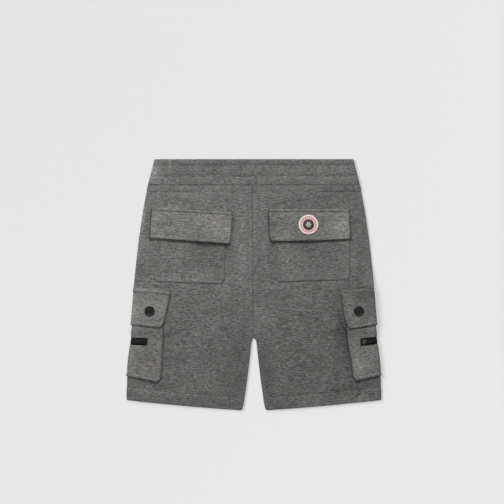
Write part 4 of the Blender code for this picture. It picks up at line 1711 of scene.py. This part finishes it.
@dataclass
class CargoPocket(Pocket):
    """A cargo pocket that wraps the side fold: gusset, bag with its zip, flap and press stud.

    Each row of the bag and the flap, from the top down, gives its edge on the back and where it crosses
    the fold; the front mirrors the back. zip_rows are those between which the zip shows.
    """

    nodes: dict[str, Object]
    bag_rows: tuple[Wrap, ...]
    flap_rows: tuple[Wrap, ...]
    gusset_shows: float
    snap: tuple[float, float]
    swells: tuple[Swell, ...]
    # Painted shade on the inner edges of the bag, the flap and the gusset, the dark of the valley beside
    # them.
    crease: float
    row_depth: float = 5.8
    # Painted shade along the flap's top stitched row.
    row_shade: float = -0.18
    flap_stitch: float = 5.2
    bag_stitch: float = 1.8
    zip_rows: tuple[int, int] = (6, 7)
    zip_end: float = 159.6
    zip_gap: float = 0.3
    zip_stitch: float = 1.5
    turn: float = 3.0
    gusset_end: float = 173.6
    gusset_width: float = 9.0
    gusset_lap: float = 4.5
    coil_pitch: float = 1.25
    coil_half: float = 1.15
    coil_slant: float = 0.25
    plain: tuple[Rim, ...] = (Rim(1.0, 0.0),) * 4
    deep: tuple[float, float, float] = (340.0, 400.0, 460.0)
    deeper: float = 23.0

    def row_y(self, row: Wrap, x: Array) -> Array:
        """Where a row is along the garment, at distances from the middle up to the side fold."""
        centre = float(self.lay.fold_centre(row[2]))
        return row[1] + (row[2] - row[1]) * (x - row[0]) / (centre - row[0])

    def row_line(self, row: Wrap, stop: Optional[float]) -> Array:
        """Draws one row from its edge on the back, round the fold, to its edge on the front.

        Args:
            row: The row.
            stop: Where it has one more knot, before the fold and again after it.

        Returns:
            The row's knots.
        """
        centre = float(self.lay.fold_centre(row[2]))
        back = [row[:2], (centre, row[2])]
        if stop is not None:
            back.insert(1, (stop, self.row_y(row, stop)))
        far = 2 * centre + math.pi * self.turn
        return np.array(back + [(far - x, y) for x, y in reversed(back)])

    def knots(self, rows: Sequence[Wrap], stop: Optional[float] = None) -> Array:
        """The flat shape of a wrapped piece."""
        return np.array([self.row_line(row, stop) for row in rows])

    def bag_puff(self, piece: ClothPiece, a: Array, y: Array) -> Array:
        """Fills the bag under its zip and beside it.

        Args:
            piece: The bag.
            a, y: Places on it.

        Returns:
            How far the cloth stands out at each.
        """
        _, outer, bottom, inner = piece.closeness(a, y)
        edge = np.minimum(np.minimum(inner, bottom), outer)
        low = float(self.bag_rows[-2][1])
        full = 0.5 * soft_step(edge, 2.0, 16.0) * bell(y, low * 0.5 - 50.0, 30.0)
        return full + heap(self.swells, piece.side.value * a, y)

    def flap_under(self, piece: ClothPiece, a: Array, y: Array) -> Reach:
        """The flap lies on the leg where it is sewn, and stands on the bag below."""
        return FLAP_SEWN.toward(FLAP_UNDER, soft_step(piece.closeness(a, y)[0], 1.6, 7.5))

    def bag(self) -> ClothPiece:
        """Cuts the bag, with a window for its zip.

        Returns:
            The bag.
        """
        # Painted shade on the bag's side and bottom folds.
        outer_rim, inner_rim = (Rim(1.4, 0.3, 0.3, 5.0, 0.3, crease) for crease in (-0.35, self.crease))
        return self.cut(
            "cargo_bag_cloth", knots=self.knots(self.bag_rows, self.zip_end), thickness=1.4,
            rims=(Rim(1.0, 0.4), outer_rim, Rim(1.5, 0.25, 0.45, 5.6, 0.3, -0.3), inner_rim),
            under=BAG_UNDER, puff=self.bag_puff, turn=self.turn, step=1.5,
            windows=((*self.zip_rows, 1, 4),), window_rim=Rim(0.9, 0.25))

    def flap(self) -> ClothPiece:
        """Cuts the flap.

        Returns:
            The flap.
        """
        # Painted shade on the flap's folds and along its top stitched row.
        outer_rim, inner_rim = (Rim(1.7, 0.45, 0.35, 5.4, 0.3, crease) for crease in (-0.45, self.crease))
        return self.cut(
            "cargo_flap_cloth", knots=self.knots(self.flap_rows), thickness=1.8,
            rims=(Rim(1.3, 0.15, 0.4, self.row_depth, 0.6, -0.16, self.row_shade), outer_rim,
                  Rim(1.8, 0.5, 0.4, 5.4, 0.3, -0.3), inner_rim),
            under=self.flap_under, turn=self.turn, step=1.4)

    def gusset(self) -> ClothPiece:
        """Cuts the gusset, a strip that shows beside the bag and below it.

        Returns:
            The gusset.
        """
        last = self.bag_rows[-1]
        rows = [*((row, 0.0) for row in self.bag_rows[2:-1]), (last, self.gusset_lap),
                (last, -self.gusset_shows)]
        knots = []
        for row, above in rows:
            start = row[0] - self.gusset_shows
            places = np.array((start, start + self.gusset_width, self.gusset_end))
            knots.append(np.stack((places, self.row_y(row, places) + above), axis=-1))
        # Painted shade on the gusset's inner edge, the dark line beside the bag.
        return self.cut(
            "cargo_gusset_cloth", knots=np.array(knots), thickness=1.1,
            rims=(*self.plain[:3], Rim(1.0, 0.0, shade=self.crease)), under=GUSSET_UNDER, step=2.2,
            windows=((0, len(knots) - 2, 1, 2),), window_rim=Rim(1.0, 0.0))

    def tape(self) -> ClothPiece:
        """Cuts the zip's tape to its window.

        Returns:
            The tape.
        """
        rows = []
        for row, shift in zip(self.zip_rows, (self.zip_gap, -self.zip_gap)):
            x, y = self.row_line(self.bag_rows[row], self.zip_end + self.zip_gap)[1]
            rows.append((float(x), float(y) + shift, self.bag_rows[row][2] + shift))
        return self.cut("zip_tape", knots=self.knots(rows), thickness=0.8, rims=self.plain,
                        under=ZIP_UNDER, turn=self.turn, step=1.3)

    def coil(self, tape: ClothPiece) -> Threadwork:
        """Winds the zip's coil of teeth along the middle of its tape.

        Args:
            tape: The tape.

        Returns:
            The teeth.
        """
        places = walk((tape.knots[0] + tape.knots[-1]) / 2, self.coil_pitch, 1.2, 1.2)
        low, _ = tape.points(places[:, 0] + self.coil_slant, places[:, 1] - self.coil_half)
        high, _ = tape.points(places[:, 0] - self.coil_slant, places[:, 1] + self.coil_half)
        over, _ = tape.points(places[:, 0], places[:, 1], 1.0)
        coil = Threadwork(thickness=0.72, gap=0.0, arch=0.22, sunk=0.02)
        coil.bars(low, high, over - (low + high) / 2)
        return coil

    def stitches(self, bag: ClothPiece, flap: ClothPiece) -> Threadwork:
        """Sews the bag, the flap and the edges of the zip's window.

        Args:
            bag, flap: The pieces.

        Returns:
            The stitches.
        """
        stitches = Threadwork()
        stitches.sew(bag, inset(bag.below_top(), self.bag_stitch), start=3.0, end=3.0)
        stitches.sew(flap, inset(flap.edges[0], self.row_depth), start=1.4, end=1.4)
        stitches.sew(flap, inset(flap.below_top(), self.flap_stitch), start=5.0, end=5.0)
        for row, shift in zip(self.zip_rows, (self.zip_stitch, -self.zip_stitch)):
            line = self.row_line(self.bag_rows[row], self.zip_end)[1:5]
            stitches.sew(bag, line + np.array((0.0, shift)))
        return stitches

    def build(self) -> list[Object]:
        """Makes the whole pocket, and finishes its slider and pull.

        Returns:
            The pieces.
        """
        word = self.side.word
        bag, flap, tape = self.bag(), self.flap(), self.tape()
        depths = [deep + self.side.value * self.deeper for deep in self.deep]
        made = [
            self.sew(self.gusset(), "cargo_gusset", Slot.SWEAT, depths[0], "back_panel_cloth"),
            self.sew(bag, "cargo_bag", Slot.POCKET, depths[1], "cargo_gusset_cloth"),
            self.sew(flap, "cargo_flap", Slot.POCKET, depths[2], "cargo_bag_cloth"),
            self.sew(tape, "zip", Slot.TAPE, 0.0, "cargo_bag_cloth"),
            self.coil(tape).build(f"{word}_zip_coil", self.finishes.teeth, Slot.TAPE),
            self.stitches(bag, flap).build(f"{word}_cargo_stitches", self.finishes.thread, Slot.POCKET)]
        for metal in ("slider", "pull"):
            # Painted highlight: the right slider gets the paler enamel for its glint.
            painted_glint = self.side is Side.RIGHT and metal == "slider"
            for slot in self.nodes[f"{word}_zip_{metal}"].material_slots:
                slot.material = self.finishes.painted_glint if painted_glint else self.finishes.enamel
        low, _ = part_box(f"{word}_snap_cap")
        cap = SnapCap(f"{word}_snap_cap_turned", self.side.value * self.snap[0], self.snap[1], low.z / MM)
        made.append(cap.build(f"{word}_snap_cap", self.finishes.enamel))
        return made


@dataclass
class SnapCap:
    """The cap of a press stud: a shallow dish inside a round raised rim, under black enamel."""

    name: str
    x: float
    y: float
    z: float
    sides: int = 56
    profile: tuple[tuple[float, float], ...] = (
        (0.9, 1.45), (3.0, 1.42), (4.4, 1.36), (5.0, 1.26), (5.4, 1.3), (5.8, 1.62), (6.2, 1.86),
        (6.6, 1.84), (7.0, 1.6), (7.35, 1.2), (7.5, 0.8), (7.4, 0.35), (7.2, 0.0))

    def build(self, node: str, finish: Material) -> Object:
        """Makes the cap in place of its solid in the frame.

        Args:
            node: The solid.
            finish: The cap's material.

        Returns:
            The object.
        """
        turn = np.arange(self.sides) * 2 * math.pi / self.sides
        radius, height = np.array(self.profile).T
        ring = np.stack((np.outer(radius, np.cos(turn)), np.outer(radius, np.sin(turn)),
                         np.repeat(height[:, None], self.sides, axis=1)), axis=-1)
        points = ring.reshape(-1, 3) + np.array((self.x, self.y, self.z))
        faces = [tuple(range(self.sides)), *rings_of_faces(len(self.profile), self.sides),
                 tuple(range(len(points) - 1, len(points) - 1 - self.sides, -1))]
        return ride_on(make_mesh(self.name, points, faces, finish), node)


@dataclass
class RoundPatch:
    """A plain embroidered patch: twill, a raised edge, a ring of bars and a flower on a dark disc.

    The reaches are radii from the patch's middle, edge is the radius of the raised edge's own section,
    and the heights are above the flap.
    """

    finishes: Finishes
    flap: ClothPiece
    centre: tuple[float, float] = (81.6, 89.8)
    reach: float = 14.7
    edge: float = 1.25
    edge_height: float = 0.75
    strands: int = 84
    winding: float = 0.09
    height: float = 0.95
    petals: int = 6
    disc_reach: float = 9.4
    disc_wave: float = 0.35
    flower_reach: float = 5.0
    bars_reach: tuple[float, float] = (10.1, 12.0)
    bar_count: int = 22
    gap: float = 0.12

    def settle(self, points: Array) -> Array:
        """Lays points that are drawn round the patch's middle on to the flap.

        Args:
            points: The points, with their heights above the flap.

        Returns:
            The points where they lie.
        """
        a, y = points[:, 0] + self.centre[0], points[:, 1] + self.centre[1]
        on, _ = self.flap.points(a, y)
        return on + np.array((0.0, 0.0, self.gap)) + points * np.array((0.0, 0.0, 1.0))

    def twill_height(self, radius: Array, around: Array) -> Array:
        """The height of the ground, which is level."""
        return self.height + 0.0 * radius

    def disc_height(self, radius: Array, around: Array) -> Array:
        """The height of the dark disc, whose edge is lightly scalloped."""
        edge = self.disc_reach - self.disc_wave + self.disc_wave * np.cos(around * self.petals * 3)
        return self.height - 0.3 + 0.75 * np.clip(1.0 - (radius / edge) ** 6, 0.0, 1.0)

    def flower_height(self, radius: Array, around: Array) -> Array:
        """The height of the flower, a lobe for each petal."""
        edge = self.flower_reach * (0.45 + 0.55 * np.abs(np.cos(around * self.petals / 2)) ** 0.7)
        return self.height + 0.25 + 0.55 * np.clip(1.0 - (radius / edge) ** 4, 0.0, 1.0)

    def mound(self, name: str, finish: Material, height: Callable[[Array, Array], Array],
              radius: float, low: float, rings: int, sides: int) -> Object:
        """Makes a round mound with a flat underside.

        Args:
            name, finish: Its name and material.
            height: Its height at each radius and angle.
            radius, low: Its own radius, and the height of its underside.
            rings, sides: How many rings of points its top has, and how many points a ring has.

        Returns:
            The object.
        """
        around = np.broadcast_to(np.arange(sides) * 2 * math.pi / sides, (rings, sides))
        reach = np.broadcast_to(np.linspace(1.0, 0.04, rings)[:, None] * radius, around.shape)
        top = np.stack((reach * np.cos(around), reach * np.sin(around), height(reach, around)), axis=-1)
        base = top[:1] * np.array((1.0, 1.0, 0.0)) + np.array((0.0, 0.0, low))
        points = np.concatenate((base, top)).reshape(-1, 3)
        side = [(a, d, c, b) for a, b, c, d in rings_of_faces(rings + 1, sides)]
        last = rings * sides
        faces = [tuple(range(sides - 1, -1, -1)), *side, tuple(range(last, last + sides))]
        return make_mesh(name, self.settle(points), faces, finish)

    def bar_ring(self) -> Object:
        """Makes the ring of short satin bars between the disc and the edge.

        Returns:
            The object.
        """
        around = np.arange(self.bar_count) * 2 * math.pi / self.bar_count
        out = np.stack((np.cos(around), np.sin(around), np.zeros(self.bar_count)), axis=1)
        near, far = (self.settle(out * reach + np.array((0.0, 0.0, self.height)))
                     for reach in self.bars_reach)
        bars = Threadwork(thickness=0.8, gap=0.0, arch=0.25, sunk=0.1)
        bars.bars(near, far, np.broadcast_to(np.array((0.0, 0.0, 1.0)), near.shape))
        return bars.build("round_patch_bars", self.finishes.bars, Slot.PATCH)

    def overlock(self) -> Object:
        """Winds thread slantwise round the patch's rim.

        Returns:
            The raised edge.
        """
        sides, slices = self.strands * 6, 12
        around, section = np.meshgrid(np.arange(sides) * 2 * math.pi / sides,
                                      np.arange(slices) * 2 * math.pi / slices, indexing="ij")
        winding = 1.0 + self.winding * np.cos(self.strands * around + section * 1.4)
        reach = self.reach - self.edge + self.edge * winding * np.cos(section)
        z = self.edge_height + 0.8 * winding * np.sin(section)
        points = np.stack((reach * np.cos(around), reach * np.sin(around), np.maximum(z, 0.02)), axis=-1)
        made = make_mesh("round_patch_edge", self.settle(points.reshape(-1, 3)),
                         rings_of_faces(sides, slices, loop=True), self.finishes.rim)
        return ride_on(made)

    def build(self) -> list[Object]:
        """Makes the patch in place of its solid in the frame.

        Returns:
            The pieces.
        """
        reach = self.reach - self.edge * 1.7 + 0.6
        twill = self.mound("round_patch_ground", self.finishes.twill, self.twill_height, reach, 0.0, 5, 72)
        made = [ride_on(twill, "round_patch"), self.overlock()]
        for name, finish, height, radius, rings in (
                ("disc", self.finishes.rosette, self.disc_height, self.disc_reach, 24),
                ("flower", self.finishes.dot, self.flower_height, self.flower_reach, 18)):
            piece = self.mound(f"round_patch_{name}", finish, height, radius, 0.4, rings, 96)
            made.append(ride_on(piece))
        made.append(self.bar_ring())
        return made


# ---- The studio ----


@dataclass(frozen=True)
class Lamp:
    """A round soft lamp; its sizes are in metres, and aim is the point that it faces."""

    name: str
    place: tuple[float, float, float]
    size: float
    power: float
    aim: tuple[float, float, float] = (0.0, -0.02, 0.0)

    def build(self) -> Object:
        """Hangs the lamp.

        Returns:
            The lamp.
        """
        light = bpy.data.lights.new(self.name, "AREA")
        light.shape = "DISK"
        light.size = self.size
        light.energy = self.power
        lamp = bpy.data.objects.new(self.name, light)
        bpy.context.scene.collection.objects.link(lamp)
        lamp.location = self.place
        away = Vector(self.place) - Vector(self.aim)
        lamp.rotation_euler = away.to_track_quat("Z", "Y").to_euler()
        return lamp

    def falls(self, x: Socket, y: Socket) -> Socket:
        """The lamp's light on a level surface, where 1 shows a colour as it is written.

        Args:
            x, y: Where the surface is, in metres.

        Returns:
            The light.
        """
        facing = (Vector(self.aim) - Vector(self.place)).normalized()
        across, along, height = x - self.place[0], y - self.place[1], self.place[2]
        reach = across * across + along * along + height ** 2
        toward = across * facing.x + along * facing.y - height * facing.z
        return toward * (self.power * height / math.pi ** 2) / (reach * reach)


@dataclass
class Studio:
    """A pale table under a camera, a near lamp beyond the waist, a weak one at the side and a big one.

    The big lamp lights only the table, for its soft shadow. own_light is how much of the table's look is
    its own even light, and dome the strength of the light from all round.
    """

    table: float = 0.82
    table_half: float = 6e3
    table_below: float = 0.6
    own_light: float = 0.88
    dome: float = 0.3
    lamps: tuple[Lamp, ...] = (Lamp("waist_lamp", (-0.08, 0.77, 0.78), 0.42, 10.41),
                               Lamp("side_lamp", (-1.58, 0.59, 1.98), 1.2, 12.3))
    shadow_lamp: Lamp = Lamp("shadow_lamp", (-1.54, 0.81, 1.93), 1.30, 233.3)
    lens: float = 85.0
    eye: tuple[float, float, float] = (-0.0029, 0.0488, 1.79)
    farthest: float = 50.0

    def make_table(self) -> Object:
        """Makes the table top, whose own light evens out the lamps' so that only the shadow shows.

        Returns:
            The table top.
        """
        corners = np.array(((-1.0, -1.0), (1.0, -1.0), (1.0, 1.0), (-1.0, 1.0))) * self.table_half
        points = np.column_stack((corners, np.full(len(corners), -self.table_below)))
        tone = (self.table,) * 3
        material, graph = new_material("table_top", tone)
        lit = graph.node("ShaderNodeBsdfDiffuse", inputs={"Color": (*tone, 1.0)})
        x, y, _ = graph.parts(1.0)
        cast = sum((lamp.falls(x, y) for lamp in (*self.lamps, self.shadow_lamp)), self.dome)
        even = (1.0 - cast * (1.0 - self.own_light)) * (self.table / self.own_light)
        own = graph.node("ShaderNodeEmission", inputs={"Color": graph.vector(even, even, even)})
        seen = graph.node("ShaderNodeLightPath", output="Is Camera Ray")
        glossy = graph.node("ShaderNodeLightPath", output="Is Glossy Ray")
        share = seen.apply("MAXIMUM", glossy) * self.own_light
        mixed = graph.node("ShaderNodeMixShader", inputs={0: share, 1: lit, 2: own})
        graph.end(mixed)
        return make_mesh("table_top", points, [(0, 1, 2, 3)], material)

    def make_world(self) -> None:
        """Makes the even light of the room, and a backdrop in the table's colour."""
        world = bpy.data.worlds.new("room")
        bpy.context.scene.world = world
        graph = Graph(world)
        room, seen = (graph.node("ShaderNodeBackground", inputs={"Color": (tone, tone, tone, 1.0),
                                                                 "Strength": strength})
                      for tone, strength in ((1.0, self.dome), (self.table, 1.0)))
        ray = graph.node("ShaderNodeLightPath", output="Is Camera Ray")
        mixed = graph.node("ShaderNodeMixShader", inputs={0: ray, 1: room, 2: seen})
        graph.end(mixed, "ShaderNodeOutputWorld")

    def make_camera(self) -> None:
        """Makes the camera, which looks straight down."""
        data = bpy.data.cameras.new("camera")
        data.lens = self.lens
        data.dof.use_dof = False
        data.clip_end = self.farthest
        camera = bpy.data.objects.new("camera", data)
        camera.location = self.eye
        bpy.context.scene.collection.objects.link(camera)
        bpy.context.scene.camera = camera

    def build(self) -> None:
        """Sets the table, the lights and the camera."""
        table, shadow_lamp = self.make_table(), self.shadow_lamp.build()
        lit = bpy.data.collections.new("lit_by_shadow_lamp")
        lit.objects.link(table)
        shadow_lamp.light_linking.receiver_collection = lit
        shadow_lamp.data.cycles.max_bounces = 0
        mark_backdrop(table, shadow_lamp, *(lamp.build() for lamp in self.lamps))
        self.make_world()
        self.make_camera()
        bpy.context.scene.view_settings.view_transform = "Standard"


BACK_POCKETS: dict[Side, dict[str, object]] = {
    Side.LEFT: dict(
        pocket_rows=((149, 99, 41.8, 94), (150.6, 22, 43.4, 22), (150.8, 16, 43.7, 16),
                     (150.9, 10, 43.8, 6.6), (146.6, 4.4, 48.4, 0.9)),
        flap_rows=((154.2, 115.6, 32.4, 108.4), (154.7, 110.5, 32.6, 104), (155.2, 103, 33, 97.5),
                   (157.3, 71.6, 35.5, 63.4), (156, 69.7, 37.2, 61.2)),
        pocket_swells=swells(
            (-80, 64, 56, 6, -1, 3), (-112, 46, 34, 11, 0.7, 64), (-88, 48, 36, 10, -1, 58),
            (-66, 34, 28, 12, 0.7, 40), (-96, 20, 46, 7, -0.6, 3)),
        flap_swells=swells(
            (-58, 84, 20, 14, 0.9, 80), (-84, 86, 24, 12, -0.6, 84), (-118, 90, 26, 13, 0.5, 70)),
        creases=(-0.75, 0)),
    Side.RIGHT: dict(
        pocket_rows=((143.4, 98, 29.6, 97), (144, 22, 32.6, 22), (144.2, 16, 32.8, 16),
                     (144.2, 12.2, 33, 9.2), (139.8, 7.2, 37.6, 3.8)),
        flap_rows=((143.1, 113.3, 20.6, 112.9), (143.4, 108, 21, 107.6), (143.8, 101, 21.4, 100.5),
                   (145.5, 70.6, 22.2, 71.4), (144.2, 68.2, 25.2, 65.2)),
        pocket_swells=swells(
            (88, 66, 60, 6, -1), (128, 38, 24, 12, 0.9, 70), (98, 40, 40, 11, -0.9, -36),
            (60, 46, 34, 13, 0.6, -50), (84, 20, 46, 7, -0.5, -2)),
        flap_swells=swells((118, 88, 22, 13, 0.9, 100), (52, 90, 24, 12, -0.5, 96)),
        hang=2.1, lean=0.2, bow=0.8),
}

CARGO_POCKETS: dict[Side, dict[str, object]] = {
    Side.LEFT: dict(
        bag_rows=((134.6, -15.5, -12.8), (135.8, -56, -56), (136, -67, -67), (136, -70, -70),
                  (136, -74, -74), (136, -77, -77), (136.1, -80.9, -79.6), (136.5, -93.1, -90.2),
                  (137.6, -112, -109), (139, -140.8, -133.2), (144.9, -146.6, -137.4)),
        flap_rows=((124.4, -7.4, -3.5), (125.4, -14, -11), (127.2, -26, -24), (134.2, -57.4, -54.4),
                   (140, -64.8, -60.8)),
        swells=swells((-160, -112, 14, 9, -0.5, 20), (-150, -126, 12, 8, 0.6, 10)),
        gusset_shows=1.5, snap=(155.9, -39.4), crease=-0.35, row_depth=7.2, row_shade=-0.42),
    Side.RIGHT: dict(
        bag_rows=((134.6, -15.5, -12.8), (136.8, -56, -56), (137.7, -67, -67), (138, -70, -70),
                  (138.2, -74, -74), (138.5, -77, -77), (139.2, -83.4, -78.4), (140.6, -95, -89.4),
                  (145.2, -112, -108), (148.2, -138, -132.4), (153.4, -144.6, -136.8)),
        flap_rows=((129.2, -7, -4.8), (129.8, -14, -11.8), (130.9, -26, -24), (134.8, -54, -53.4),
                   (143.4, -66.8, -60.8)),
        swells=swells((166, -112, 14, 8, -0.5, -20), (160, -126, 12, 8, 0.6, -10)),
        gusset_shows=1.4, snap=(156.6, -39.4), crease=-0.55),
}


def main() -> list[Sequence[Sequence[float]]]:
    """Builds every sub-assembly in order.

    Returns:
        The box of the frame and that of the finished scene.
    """
    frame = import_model()
    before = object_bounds()
    lay, finishes = Lay(), Finishes()
    back = {side: BackPocket(side, lay, finishes, **BACK_POCKETS[side]) for side in Side}
    cargo = (CargoPocket(side, lay, finishes, frame["nodes"], **CARGO_POCKETS[side]) for side in Side)
    patch = RoundPatch(finishes, back[Side.RIGHT].flap())
    for part in (Legs(lay, finishes), Waistband(lay, finishes), *back.values(), *cargo, patch):
        for piece in part.build():
            LOG.info("%s: %s, %d faces", type(part).__name__, piece.name, len(piece.data.polygons))
    Studio().build()
    return [before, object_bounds()]


if __name__ == "__main__":
    logging.basicConfig(level=logging.INFO, format="%(message)s")
    main()
